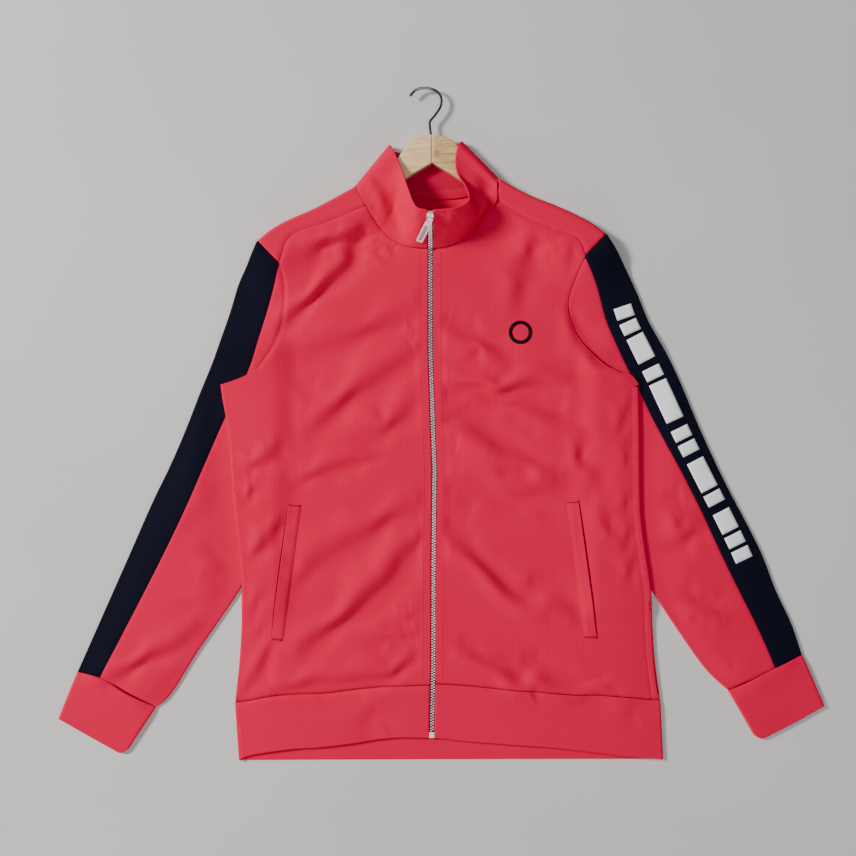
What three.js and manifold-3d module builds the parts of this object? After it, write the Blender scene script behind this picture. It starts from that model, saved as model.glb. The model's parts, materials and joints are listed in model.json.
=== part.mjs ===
// A zip-front track jacket laid flat on the floor, with a wooden hanger left inside its neck.
// Millimetres: +X runs to the wearer's left, +Y from the hem to the collar, +Z up from the floor.
// "Right" and "left" in the names are the wearer's. Tables are in the garment's own frame, where
// x is 0 on the zip and y is 0 on the lower edge of the back; the group moves it all at the end.
import * as THREE from "three";
import { mergeVertices } from "three/addons/utils/BufferGeometryUtils.js";
import Module from "manifold-3d";

// Cloth walls
const cloth = 1.2; // one panel of double knit
const rib = 1.8; // hem band and cuffs, two layers of knit
const collarCloth = 1.8;
const seamGap = 0.3; // between neighbouring pieces

// How the layers lie
const backMid = cloth / 2; // middle of the back panel's wall above the floor
const restGap = 5.0; // front middle over back middle, on the open chest
const edgeGap = 2.8; // the same along a side fold
const edgeWidth = 26; // how far in from a fold the front takes to rise
const sleeveGap = 2.8; // sleeve front over sleeve back at its folds
const sleevePuff = 3.2; // rise of the sleeve between its folds
const tuckLift = 4.7; // body lifted by the sleeve that runs under its side
const leastGap = 1.6; // front middle over back middle in the deepest trough

// Rolls of the folded edges, measured in plan
const sideRoll = 2.2;
const sleeveRoll = 2.0;
const shoulderRoll = 4.0;
const sideSeamInset = 6.5; // the back comes round onto the front on the wearer's left

// Zip
const chainHalf = 3.2;
const chainThick = 2.0;
const zipGap = chainHalf + seamGap;
const sliderLong = 12;
const sliderHalf = 4.7;
const sliderPlate = 2.8; // top plate, standing on the edges of the collar
const bridgeHalf = 1.3; // the loop on the slider that holds the pull tab
const bridgeBar = 1.4;
const bridgeRoom = 3.2;
const pullLong = 40;
const pullHalf = 4.2;
const pullThick = 1.6;
const pullLean = -20; // degrees that the tab lies off the line of the zip
const pullDrop = THREE.MathUtils.degToRad(5); // and how far its end drops to the cloth

// Hanger
const hangerFloor = 3.4; // it lies on the neck tape
const hangerThick = 11;
const hangerEdge = 1.5; // its rounded edges
const hangerTop = hangerFloor + hangerThick;
const hookWire = 3.2;

// Light falls on the folds from the lower right, so each trough lies on the far side from it
const litSide = new THREE.Vector2(-0.98, 0.15);

// Outlines: columns x, y
const sideRight = [[-245, 71], [-239, 131], [-236, 221], [-240, 267], [-246, 323],
  [-252, 402], [-256, 428], [-260, 449], [-262.5, 467]];
const sideLeft = [[283.8, 75.6], [277.5, 124], [271, 218], [264, 266], [259, 307],
  [257.5, 411], [256, 464]];
const armholeRight = [[-262.5, 467], [-234, 477], [-216, 488], [-195, 519], [-185, 552],
  [-184, 597], [-189.4, 618]];
const armholeLeft = [[256, 464], [245, 479], [231, 482], [215, 490], [199, 504], [181, 525],
  [171, 546], [167.5, 565], [169, 578], [182.5, 613], [188.4, 626]];
const shoulderSeamRight = [[-189.4, 618], [-175, 650], [-130, 668], [-81, 688.5]];
const shoulderSeamLeft = [[188.4, 626], [180, 646], [149, 658], [115, 673], [80, 694]];
const shoulderFoldRight = [[-95, 712], [-147, 684], [-179, 670], [-200, 658], [-216.5, 644.4]];
const shoulderFoldLeft = [[82, 722], [119, 702], [157, 687], [195.5, 668], [216, 653]];
const hemSeamRight = [[-245, 71], [-233, 72], [-203, 78], [-167, 81], [-131, 82], [-90, 87],
  [-60, 90], [-3, 92.5]];
const hemSeamLeft = [[284, 74], [272, 74], [250, 76.5], [207, 80], [176, 81], [134, 84.5], [81, 88],
  [39.5, 92], [3, 94]];
const backHem = [[-243, 70], [20, 69], [282, 73]];
const backHemEdge = [[-238, -1], [20, 0], [285, 0.5]];
const hemEdgeRight = [[-240, -1], [-232, 4], [-175, 14], [-142, 16], [-100, 21], [-50, 28],
  [-3, 28]];
const hemEdgeLeft = [[287.5, 0.6], [279, 1.3], [249, 3.6], [207, 9], [155, 15], [102, 19],
  [50, 23], [3, 28]];
const zipLine = [[-0.3, 31], [1.6, 118], [1.9, 246], [3.1, 361], [1.3, 408], [-2, 508], [-2, 637]];

// Sleeves: columns x, y, from the shoulder down to the cuff seam
const outerRight = [[-216.5, 644.4], [-230, 615], [-240, 594], [-251.5, 557], [-271, 501],
  [-290, 454], [-307.5, 409], [-327, 364], [-346, 325], [-380, 248], [-441.5, 109]];
const outerLeft = [[216, 653], [232, 628], [253, 586], [271, 543], [294.5, 501], [310, 468],
  [334, 411], [363, 349], [410, 257.5], [428, 211], [448, 168], [461, 130]];
const stripeSeamRight = [[-189.4, 618], [-202.5, 568], [-219, 514], [-232, 478], [-257, 428],
  [-284, 366], [-301, 325], [-338, 248], [-413, 102.5]];
const stripeSeamLeft = [[188.4, 626], [204, 592], [218, 543], [237, 501], [256, 464], [276, 423],
  [326, 328], [367, 241], [410, 154], [427, 114]];
const innerRight = [[-216, 488], [-212, 455], [-216, 400], [-220, 323], [-223, 250], [-236, 219],
  [-293, 134], [-330, 77], [-345, 65]];
const innerLeft = [[215, 490], [224, 455], [231, 400], [236, 323], [246, 255], [271, 216],
  [305, 164], [344, 110], [370, 86]];
const cuffSeamRight = [[-441.5, 109], [-413, 102], [-384, 84], [-345, 65]];
const cuffSeamLeft = [[461, 130], [427, 114], [385, 92], [370, 86]];
const cuffEdgeRight = [[-465, 51], [-427.5, 29], [-388, 7.6], [-379, 13.5]];
const cuffEdgeLeft = [[488.6, 67], [457, 49], [411, 25.4], [402, 30.5]];

// Plan limits of the body and the upper sleeves, where the front comes down: columns y, x
const limitRight = [[0, -241], [73, -245], [221, -236], [323, -246], [449, -260], [470, -264],
  [490, -272], [515, -265.5], [557, -251.5], [594, -240], [644, -217]];
const limitLeft = [[0, 287], [74, 284], [218, 271], [307, 259], [411, 257.5], [464, 258],
  [482, 280], [501, 294], [543, 271], [586, 253], [628, 232], [653, 216]];

// Hanger arm, half of the pair: columns x, upper y, lower y
const armTable = [[0.2, 776, 741], [12, 775, 734], [24, 770, 727], [33, 760.5, 721],
  [43, 746.5, 715.5], [60, 729, 706], [95, 704.5, 684.5], [140, 679.5, 661.5], [180, 660, 643],
  [198, 648, 633]];
const armTip = [203, 638];
const armLine = [[60, 718], [95, 695], [140, 671], [180, 652], [203, 639]];
const armHalf = 12.5;
const overArmSpare = 1.2; // cloth's clearance over the arms, for the flats between its points
const hookRoute = [[-1.2, 777], [-2.5, 786], [-2.5, 793], [3.7, 801], [11.1, 813], [11.1, 824],
  [5, 831.5], [-8.7, 835], [-20, 832.5], [-27.3, 825]];

// Main folds of the front: height of the ridge over the trough's level, width, and the line in plan
const bodyFolds = [
  { name: "chest crease", height: 4.6, width: 9,
    line: [[-90, 657], [-105, 618], [-151, 574], [-190, 538]] },
  { name: "shoulder pleat", height: 2.6, width: 9,
    line: [[-151, 634], [-131, 644], [-106, 649], [-89, 658]] },
  { name: "upper chest swag", height: 2.6, width: 16,
    line: [[-20, 558], [-100, 528], [-191, 501]] },
  { name: "chest swag", height: 4.2, width: 13,
    line: [[-20, 508], [-79, 468], [-121, 436], [-151, 412]] },
  { name: "short chest fold", height: 2.0, width: 12,
    line: [[-24, 449], [-50, 418], [-92, 408]] },
  { name: "level waist fold", height: 2.2, width: 9,
    line: [[-70, 376], [-121, 366], [-166, 349]] },
  { name: "side nick", height: 2.2, width: 9, line: [[-192, 392], [-202, 377], [-235, 363]] },
  { name: "waist swag", height: 4.2, width: 15,
    line: [[-22, 313], [-80, 284], [-141, 251], [-162, 228]] },
  { name: "pocket side fold", height: 2.4, width: 10,
    line: [[-189, 297], [-222, 258], [-236, 254]] },
  { name: "hip swag", height: 5.6, width: 13,
    line: [[-18, 273], [-54, 228], [-100, 184], [-161, 138]] },
  { name: "low pocket fold", height: 2.4, width: 9,
    line: [[-202, 142], [-219, 108], [-241, 84]] },
  { name: "right hem puff", height: 4.4, width: 11,
    line: [[-26, 126], [-50, 107], [-110, 99], [-191, 91]] },
  { name: "armhole drop", height: 2.8, width: 16, line: [[136, 614], [131, 577], [148, 511]] },
  { name: "left chest fold", height: 2.4, width: 11, line: [[16, 537], [40, 526], [91, 501]] },
  { name: "level chest fold", height: 3.2, width: 10,
    line: [[20, 467], [60, 466], [102, 462], [162, 467]] },
  { name: "side chest fold", height: 2.4, width: 10,
    line: [[94, 442], [144, 429], [180, 417]] },
  { name: "long chest fold", height: 2.8, width: 12,
    line: [[16, 417], [60, 404], [124, 372], [149, 359]] },
  { name: "waist hollow", height: 2.8, width: 18, line: [[29, 349], [91, 333], [161, 337]] },
  { name: "rib side fold", height: 2.4, width: 12,
    line: [[189, 402], [182, 377], [199, 356], [192, 331]] },
  { name: "left hip swag", height: 3.8, width: 12,
    line: [[14, 282], [71, 234], [115, 198], [176, 183]] },
  { name: "left hem puff", height: 3.2, width: 11,
    line: [[38, 137], [90, 112], [152, 97], [210, 96]] },
  { name: "cap fold", height: 2.4, width: 10, line: [[170, 556], [192, 513], [241, 486]] },
];
const sleeveFolds = [
  { name: "right wrist fold", height: 2.2, width: 11,
    line: [[-295, 161], [-344, 133], [-405, 101]] },
  { name: "right elbow fold", height: 2.0, width: 12, line: [[-284, 254], [-240, 238]] },
  { name: "left elbow fold", height: 2.2, width: 12,
    line: [[272, 281], [305, 274], [330, 287]] },
  { name: "left forearm fold", height: 1.8, width: 11, line: [[305, 196], [362, 186]] },
  { name: "left upper fold", height: 1.8, width: 11, line: [[276, 316], [314, 309]] },
];

// Collar, station by station from the zip on the wearer's right round the back to the other side.
// Columns: neck seam x y, top edge x y z, rise (how late the wall climbs), dip (its sag midway).
// The three lists are the two fronts and the back; the fold rows between them turn the wall over
const collarRight = [
  [-5.6, 637, -6.3, 674, 54, 1, 0],
  [-20, 637.5, -18, 677, 53, 1, 0],
  [-34, 640, -24, 687, 49, 1.2, 0],
  [-45, 645.5, -28, 699, 42, 1.6, 1],
  [-54, 651.5, -31, 708, 37, 1.9, 1],
  [-63, 661, -33.5, 717, 31, 1.8, 1],
  [-72, 673, -37, 729, 24.5, 1.3, 0],
  [-81, 688.5, -41, 740, 19.5, 1, 0],
  [-91, 705.5, -47.5, 755.5, 15.9, 1, 0],
];
const collarFoldRight = [
  [-94.4, 711.5, -51.3, 762.5, 11.5],
  [-95, 713, -52.5, 764.5, 5],
];
const collarBack = [
  [-91, 711.5, -49, 759],
  [-45, 705.2, -29, 757],
  [0, 703.5, -6, 770],
  [42, 707, 14, 769],
  [80, 720.5, 31.5, 766.5],
];
const collarFoldLeft = [
  [82, 723, 37, 768.5, 5],
  [82, 721.5, 36, 767, 11.5],
];
const collarLeft = [
  [80.4, 715.5, 33, 763, 15.9, 1, 0],
  [80.2, 706, 29.5, 748, 17, 1, 0],
  [80, 694, 29.5, 733, 20, 1.1, 0],
  [74.5, 686, 33, 721, 25, 1.4, 1.5],
  [68, 677, 39, 709, 34, 1.6, 4],
  [60, 666.5, 43.5, 696, 43, 1.7, 5],
  [51.5, 656.5, 43.5, 687, 48, 1.6, 5],
  [41, 648.5, 38, 681, 51, 1.3, 3],
  [30, 643.5, 29, 677.5, 53, 1, 1],
  [16, 638.5, 15.5, 675, 54, 1, 0],
  [1.6, 636.5, 1.3, 674, 54, 1, 0],
];
const collarRows = 5;
const collarSeamLift = 1.1; // the collar stands on the turned-up edge of the neck seam

// Neck tape: half its height over the seam, and how far it runs each way
const tapeHalf = 6;
const tapeThick = 1.0;
const tapeSpan = [-78, 70];

// Pocket welts: corners upper outer, upper inner, lower inner, lower outer; columns x, y
const weltRight = [[-178, 319], [-162, 318], [-185, 147], [-200, 149]];
const weltLeft = [[182, 323], [168, 322], [190, 151], [205, 151]];

const wasm = await Module();
wasm.setup();

// Curves and small sums
const smooth = (low, high, value) => THREE.MathUtils.smoothstep(value, low, high);
const lerp = THREE.MathUtils.lerp;

// A smooth curve through [x, y] rows, cut into equal steps
function along(rows, steps) {
  const points = rows.map(([x, y]) => new THREE.Vector3(x, y, 0));
  if (points.length === 2) {
    return Array.from({ length: steps + 1 }, (_, i) => points[0].clone().lerp(points[1], i / steps));
  }
  return new THREE.CatmullRomCurve3(points, false, "centripetal").getSpacedPoints(steps);
}

// The points of a table just as they stand
const exact = (rows) => rows.map(([x, y]) => new THREE.Vector3(x, y, 0));

// Several curves end to end as one row of points
function joined(...stretches) {
  return stretches.flatMap((points, i) => (i === 0 ? points : points.slice(1)));
}

// Reads a table of [key, value] rows by straight lines
function readTable(rows, key) {
  const next = rows.findIndex(([k]) => k >= key);
  if (next === -1) return rows[rows.length - 1][1];
  if (next === 0) return rows[0][1];
  const [k0, v0] = rows[next - 1];
  const [k1, v1] = rows[next];
  return lerp(v0, v1, (key - k0) / (k1 - k0));
}

const zipX = (y) => readTable(zipLine.map(([x, height]) => [height, x]), y);

// Nearest place on a polyline: distance, side (+ is left of its direction), share of its length
// passed, and how far the point lies beyond an end
function nearest(rows, x, y) {
  let best = { distance: Infinity };
  rows.slice(1).forEach(([bx, by], i) => {
    const [ax, ay] = rows[i];
    const dx = bx - ax;
    const dy = by - ay;
    const length = Math.hypot(dx, dy);
    const raw = ((x - ax) * dx + (y - ay) * dy) / length ** 2;
    const t = THREE.MathUtils.clamp(raw, 0, 1);
    const distance = Math.hypot(x - ax - dx * t, y - ay - dy * t);
    if (distance >= best.distance) return;
    const side = ((y - ay) * dx - (x - ax) * dy) / length;
    const beyond = Math.abs(raw - t) * length;
    best = { distance, side, beyond, share: (i + t) / (rows.length - 1) };
  });
  return best;
}

// Height that one fold adds: a trough on its shaded side that turns into a ridge on its lit side
function foldHeight({ height, width, line }, x, y) {
  const near = nearest(line, x, y);
  if (near.distance > width * 4) return 0;
  const [ax, ay] = line[0];
  const [bx, by] = line[line.length - 1];
  const toLight = Math.sign(-(by - ay) * litSide.x + (bx - ax) * litSide.y) || 1;
  const s = (near.side * toLight) / width;
  const across = s * Math.exp(0.5 - s * s / 2);
  const ends = 0.35 + 0.65 * Math.sin(Math.PI * near.share) ** 0.6;
  return height * across * ends * Math.exp(-((near.beyond / width) ** 2));
}

const sumFolds = (folds, x, y) => folds.reduce((sum, fold) => sum + foldHeight(fold, x, y), 0);

// Lift of the body where a sleeve runs under its side
function tuck(x, y) {
  const sides = 1 - smooth(-200, -168, x) + smooth(178, 208, x);
  return tuckLift * sides * smooth(165, 198, y) * (1 - smooth(502, 550, y));
}

// Middle heights of the layers, as functions of the place in plan
const backHeight = (x, y) => backMid + tuck(x, y);

function hangerBump(x, y) {
  const { distance } = nearest(armLine, Math.abs(x), y);
  const past = Math.max(0, distance - armHalf);
  const overArm = hangerTop + overArmSpare + cloth / 2 - backMid - restGap;
  return overArm * Math.exp(-((past / 26) ** 2));
}

function frontHeight(x, y) {
  const inFromEdge = Math.min(x - readTable(limitRight, y), readTable(limitLeft, y) - x);
  const rise = 1 - Math.exp(-((Math.max(0, inFromEdge) / edgeWidth) ** 2));
  const shoulder = smooth(600, 640, y);
  const open = lerp(edgeGap, restGap, Math.max(rise, shoulder));
  const collarPull = 2.5 * Math.exp(-(x * x + (y - 640) ** 2) / 45 ** 2);
  const back = backHeight(x, y);
  const edgeFade = smooth(0, 22, inFromEdge);
  const wanted = open + hangerBump(x, y) + collarPull + sumFolds(bodyFolds, x, y) * edgeFade;
  const spare = wanted - leastGap;
  const softness = 0.8;
  return back + leastGap + softness * Math.log(1 + Math.exp(spare / softness));
}

// A sleeve's front: low at its folds, pressed where the body lies on it, joined at the armhole
function sleeveHeight(outer, inner, limit, side) {
  return (x, y) => {
    const out = nearest(outer, x, y).distance;
    const into = nearest(inner, x, y).distance;
    const outside = side * (x - readTable(limit, Math.min(y, 470)));
    const free = Math.max(smooth(12, 48, outside), 1 - smooth(120, 200, y));
    const puff = (1 - Math.exp(-((out / 16) ** 2))) * (1 - Math.exp(-((into / 16) ** 2)));
    const own = backMid + sleeveGap + (sleevePuff * puff + sumFolds(sleeveFolds, x, y) * puff) * free;
    const joinedUp = smooth(492, 540, y);
    return lerp(Math.max(own, backMid + sleeveGap - 0.2), frontHeight(x, y), joinedUp);
  };
}

// A patch of cloth between four edges: bottom and top run one way, left and right the other
function patch(bottom, top, left, right) {
  const nu = bottom.length - 1;
  const nv = left.length - 1;
  return left.map((l, j) => {
    const v = j / nv;
    const r = right[j];
    return bottom.map((b, i) => {
      const u = i / nu;
      const t = top[i];
      const corner = (key) =>
        (1 - u) * (1 - v) * bottom[0][key] + u * (1 - v) * bottom[nu][key] +
        (1 - u) * v * top[0][key] + u * v * top[nu][key];
      const blend = (key) =>
        (1 - v) * b[key] + v * t[key] + (1 - u) * l[key] + u * r[key] - corner(key);
      return new THREE.Vector3(blend("x"), blend("y"), 0);
    });
  });
}

const transpose = (grid) => grid[0].map((_, i) => grid.map((row) => row[i]));

// Draws the last row of a patch back along the grid by a distance, to leave a seam open
function drawBackLast(grid, distance) {
  const last = grid.length - 1;
  grid[last].forEach((point, i) => {
    const inward = grid[last - 1][i].clone().sub(point);
    point.addScaledVector(inward, distance / inward.length());
  });
  return grid;
}
const drawBackFirst = (grid, distance) => drawBackLast([...grid].reverse(), distance).reverse();

// Opens all four edges of a patch, or those that are named
function openSeams(grid, edges = "bottom top left right", distance = seamGap / 2) {
  let made = grid.map((row) => row.map((point) => point.clone()));
  if (edges.includes("top")) made = drawBackLast(made, distance);
  if (edges.includes("bottom")) made = drawBackFirst(made, distance);
  made = transpose(made);
  if (edges.includes("right")) made = drawBackLast(made, distance);
  if (edges.includes("left")) made = drawBackFirst(made, distance);
  return transpose(made);
}

// Gives every point of a plan patch its height
function lay(grid, height) {
  return grid.map((row) => row.map(({ x, y }) => new THREE.Vector3(x, y, height(x, y))));
}

// Steps round a folded edge from the upper layer to the lower one. The edge's points lie where the
// roll begins in plan; outward is the way the fold faces there
function roll(edge, outward, reach, lowHeight, steps = 3) {
  return edge.map((point, j) => {
    const low = lowHeight(point.x, point.y, j);
    const middle = (point.z + low) / 2;
    const half = (point.z - low) / 2;
    return Array.from({ length: steps + 1 }, (_, k) => {
      const angle = Math.PI / 2 - (Math.PI * k) / steps;
      const place = point.clone().addScaledVector(outward[j], reach * Math.cos(angle));
      place.z = middle + half * Math.sin(angle);
      return k === 0 ? point.clone() : place;
    });
  });
}

// Outward directions in plan along an edge; side is 1 for left of its run and -1 for right
function outwardOf(edge, side) {
  return edge.map((_, i) => {
    const a = edge[Math.max(0, i - 1)];
    const b = edge[Math.min(edge.length - 1, i + 1)];
    return new THREE.Vector3(-(b.y - a.y) * side, (b.x - a.x) * side, 0).normalize();
  });
}

// Moves an edge sideways in plan
function shifted(edge, side, distance) {
  const outward = outwardOf(edge, side);
  return edge.map((point, i) => point.clone().addScaledVector(outward[i], distance));
}

// The closed wall of a sheet that is given by patches of middle points, whose shared edges meet
function wall(patches, thickness) {
  const points = [];
  const index = new Map();
  const triangles = [];
  const indexOf = (point) => {
    const key = [point.x, point.y, point.z].map((value) => Math.round(value * 100)).join(" ");
    if (!index.has(key)) {
      index.set(key, points.length);
      points.push(point);
    }
    return index.get(key);
  };
  const addTriangle = (a, b, c) => {
    if (a !== b && b !== c && c !== a) triangles.push([a, b, c]);
  };
  patches.forEach((grid) => {
    const ids = grid.map((row) => row.map(indexOf));
    ids.slice(1).forEach((row, j) => row.slice(1).forEach((corner, i) => {
      const [a, b, d] = [ids[j][i], ids[j][i + 1], row[i]];
      const flat = points[a].distanceTo(points[corner]) < points[b].distanceTo(points[d]);
      if (flat) {
        addTriangle(a, b, corner);
        addTriangle(a, corner, d);
      } else {
        addTriangle(a, b, d);
        addTriangle(b, corner, d);
      }
    }));
  });
  const normals = points.map(() => new THREE.Vector3());
  triangles.forEach(([a, b, c]) => {
    const face = points[b].clone().sub(points[a]).cross(points[c].clone().sub(points[a]));
    [a, b, c].forEach((id) => normals[id].add(face));
  });
  normals.forEach((normal) => normal.normalize());
  const outer = points.map((point, i) => point.clone().addScaledVector(normals[i], thickness / 2));
  const inner = points.map((point, i) => point.clone().addScaledVector(normals[i], -thickness / 2));
  const count = points.length;
  const faces = triangles.flatMap(([a, b, c]) => [[a, b, c], [c + count, b + count, a + count]]);
  const used = new Set(triangles.flatMap(([a, b, c]) => [`${a} ${b}`, `${b} ${c}`, `${c} ${a}`]));
  used.forEach((run) => {
    const [a, b] = run.split(" ").map(Number);
    if (used.has(`${b} ${a}`)) return;
    faces.push([b, a, a + count], [b, a + count, b + count]);
  });
  const geometry = new THREE.BufferGeometry();
  const coordinates = [...outer, ...inner].flatMap(({ x, y, z }) => [x, y, z]);
  geometry.setAttribute("position", new THREE.Float32BufferAttribute(coordinates, 3));
  geometry.setIndex(faces.flat());
  geometry.computeVertexNormals();
  return geometry;
}

// Materials
const finish = (color, roughness, metalness = 0) =>
  new THREE.MeshStandardMaterial({ color, roughness, metalness });
const redKnit = finish("#de294b", 0.75);
const darkKnit = finish("#17161f", 0.8);
const redRib = finish("#dc2a4a", 0.85);
const silver = finish("#c9c8c6", 0.3, 1);
const beech = finish("#d4ba9a", 0.55);
const beechWarm = finish("#c1a27f", 0.55);
const darkChrome = finish("#8f9092", 0.2, 1);

const jacket = new THREE.Group();

function add(name, geometry, material) {
  const mesh = new THREE.Mesh(geometry, material);
  mesh.name = name;
  jacket.add(mesh);
  return mesh;
}

// Shared seams and folds are cut into the same steps for the pieces on both sides
const sideSteps = 16;
const armTipSteps = 3; // of the armhole, where the body lies over the sleeve
const armUpperSteps = 6; // of the armhole, where the sleeve is sewn on in view
const armholeSteps = armTipSteps + armUpperSteps;
const shoulderSteps = 7;
const sleeveSteps = 11; // below the armhole
const halfGap = seamGap / 2 + 0.03;

const mirrored = (grid) => grid.map((row) => [...row].reverse());

function armholeCurve(armhole, turn) {
  const lower = along(armhole.slice(0, turn + 1), armTipSteps);
  const upper = along(armhole.slice(turn), armUpperSteps);
  return { lower, upper };
}

// Puts a point halfway along each step
const halved = (points) => joined(...points.slice(1).map((p, i) =>
  [points[i], points[i].clone().lerp(p, 0.5), p]));

// Fronts: rows run from the side fold, the armhole and the shoulder seam in to the zip, and
// columns from the hem seam up to the neck seam. outSign is 1 on the wearer's right, -1 on the left
function frontPlan({ side, armhole, turn, shoulderSeam, neck, hemSeam, sideInset, outSign }) {
  const inward = (points) => shifted(points, outSign, -halfGap);
  const sideEdge = shifted(along(side, sideSteps), outSign, -sideInset);
  const arm = armholeCurve(armhole, turn);
  const armEdge = inward(joined(arm.lower, arm.upper));
  armEdge[0] = sideEdge[sideSteps].clone();
  const shoulderEdge = inward(along(shoulderSeam, shoulderSteps));
  shoulderEdge[0] = armEdge[armholeSteps].clone();
  const outer = joined(sideEdge, armEdge, shoulderEdge);
  const top = halved(inward(exact(neck)));
  const columns = top.length - 1;
  const bottom = shifted(along(hemSeam, columns), -outSign, -halfGap);
  const zipTop = top[columns].y;
  const zipFoot = bottom[columns].y;
  const marks = [0, sideSteps, sideSteps + armholeSteps, outer.length - 1];
  const shares = [0, 0.58, 0.85, 1]; // how far up the zip the rows from each mark reach
  const zipEdge = outer.map((_, j) => {
    const share = readTable(marks.map((mark, k) => [mark, shares[k]]), j);
    const y = lerp(zipFoot, zipTop, share);
    return new THREE.Vector3(zipX(y) - outSign * zipGap, y, 0);
  });
  bottom[0] = outer[0].clone();
  bottom[columns] = zipEdge[0].clone();
  top[0] = outer[outer.length - 1].clone();
  top[columns] = zipEdge[zipEdge.length - 1].clone();
  return patch(bottom, top, outer, zipEdge);
}

const neckOf = (stations, corner) =>
  stations.slice(0, stations.findIndex(([x]) => x === corner) + 1).map(([x, y]) => [x, y]).reverse();
const neckRight = neckOf(collarRight, -81);
const neckLeft = neckOf([...collarLeft].reverse(), 80);

const frontRightGrid = lay(frontPlan({
  side: sideRight, armhole: armholeRight, turn: 2, shoulderSeam: shoulderSeamRight,
  neck: neckRight, hemSeam: hemSeamRight, sideInset: sideRoll, outSign: 1,
}), frontHeight);
const frontLeftGrid = lay(frontPlan({
  side: sideLeft, armhole: armholeLeft, turn: 3, shoulderSeam: shoulderSeamLeft,
  neck: neckLeft, hemSeam: hemSeamLeft, sideInset: sideRoll + sideSeamInset + seamGap, outSign: -1,
}), frontHeight);

// The wearer's right front comes round its side fold to the seam underneath
function frontRight() {
  const foldEdge = frontRightGrid.slice(0, sideSteps + 1).map((row) => row[0]);
  const turned = roll(foldEdge, outwardOf(foldEdge, 1), sideRoll, backHeight);
  return wall([frontRightGrid, mirrored(turned)], cloth);
}
add("front_right", frontRight(), redKnit);
add("front_left", wall([mirrored(frontLeftGrid)], cloth), redKnit);

// Back: rows from the hem seam up to the shoulder folds and the back neck, then over the shoulders
function backBody() {
  const rightSide = shifted(along(sideRight, sideSteps), 1, -sideRoll - seamGap);
  const leftSide = shifted(along(sideLeft, sideSteps), -1, -sideRoll);
  const armSteps = 6;
  const armInset = 3; // the back's armhole lies inside the front's, clear of the sleeve
  const rightArm = shifted(along(armholeRight, armSteps), 1, -armInset);
  const leftArm = shifted(along(armholeLeft, armSteps), -1, -armInset);

  // Each shoulder in columns from its fold to its forward seam, clear of the sleeve at one end
  const shoulder = (fold, seam, outSign) => {
    const foldEdge = along(fold, shoulderSteps).reverse();
    const seamEdge = shifted(along(seam, shoulderSteps), outSign, halfGap);
    const outward = foldEdge.map((p, i) => p.clone().sub(seamEdge[i]).normalize());
    const clear = new THREE.Vector3(outward[0].y * outSign, -outward[0].x * outSign, 0);
    foldEdge[0].addScaledVector(clear, seamGap * 3);
    seamEdge[0].lerp(seamEdge[1], 0.02).addScaledVector(outward[0], halfGap);
    const upper = foldEdge.map((p, i) => p.clone().addScaledVector(outward[i], -shoulderRoll));
    upper.forEach((p) => p.setZ(frontHeight(p.x, p.y)));
    const over = roll(upper, outward, shoulderRoll, () => backMid, 4);
    return over.map((row, i) => {
      const toSeam = [0.5, 1].map((share) => row[0].clone().lerp(seamEdge[i], share));
      toSeam.forEach((p) => p.setZ(frontHeight(p.x, p.y)));
      return [...row.reverse(), ...toSeam];
    });
  };
  const rightYoke = shoulder(shoulderFoldRight, shoulderSeamRight, 1);
  const leftYoke = shoulder(shoulderFoldLeft, shoulderSeamLeft, -1);
  const rightFold = rightYoke.map(([low]) => low);
  const leftFold = leftYoke.map(([low]) => low).reverse();
  const neck = exact(collarBack).map((p) => p.setY(p.y - halfGap));
  neck[0] = rightFold[shoulderSteps].clone();
  neck[neck.length - 1] = leftFold[0].clone();
  const top = joined(rightFold, neck, leftFold);
  const columns = top.length - 1;
  rightArm[armSteps].copy(rightYoke[0].at(-1)).x += armInset;
  leftArm[armSteps].copy(leftYoke[0].at(-1)).x -= armInset;
  const outerRightEdge = [...joined(rightSide, rightArm), top[0].clone()];
  const outerLeftEdge = [...joined(leftSide, leftArm), top[columns].clone()];
  const hem = along(backHem, columns);
  outerRightEdge[sideSteps] = rightSide[sideSteps].clone();
  outerLeftEdge[sideSteps] = leftSide[sideSteps].clone();
  hem[0] = outerRightEdge[0].clone();
  hem[columns] = outerLeftEdge[0].clone();
  const laid = lay(patch(hem, top, outerRightEdge, outerLeftEdge), backHeight);

  // Round the side fold on the wearer's left and onto the front
  const lowSide = laid.slice(0, sideSteps + 1).map((row) => row[columns]);
  const upperSide = lowSide.map((p) => p.clone().setZ(frontHeight(p.x, p.y)));
  const outward = outwardOf(upperSide, -1);
  const ontoFront = roll(upperSide, outward, sideRoll, backHeight).map((row, j) => {
    const seam = upperSide[j].clone().addScaledVector(outward[j], -sideSeamInset);
    seam.setZ(frontHeight(seam.x, seam.y));
    row[row.length - 1] = lowSide[j];
    return [seam, ...row];
  });
  return wall([mirrored(laid), rightYoke, mirrored(leftYoke), ontoFront], cloth);
}
add("back_body", backBody(), redKnit);

// Sleeves. Cuts a curve at a height into steps above it and steps below it
function cutAt(rows, y, above, below) {
  const fine = along(rows, 600);
  const k = fine.findIndex((p) => p.y < y);
  const pick = (from, to, steps) =>
    Array.from({ length: steps + 1 }, (_, i) => fine[Math.round(lerp(from, to, i / steps))].clone());
  return joined(pick(0, k, above), pick(k, fine.length - 1, below));
}

// Straight rows between two curves of the same number of points
function ruled(from, to, steps) {
  return from.map((point, j) =>
    Array.from({ length: steps + 1 }, (_, i) => point.clone().lerp(to[j], i / steps)));
}

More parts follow.
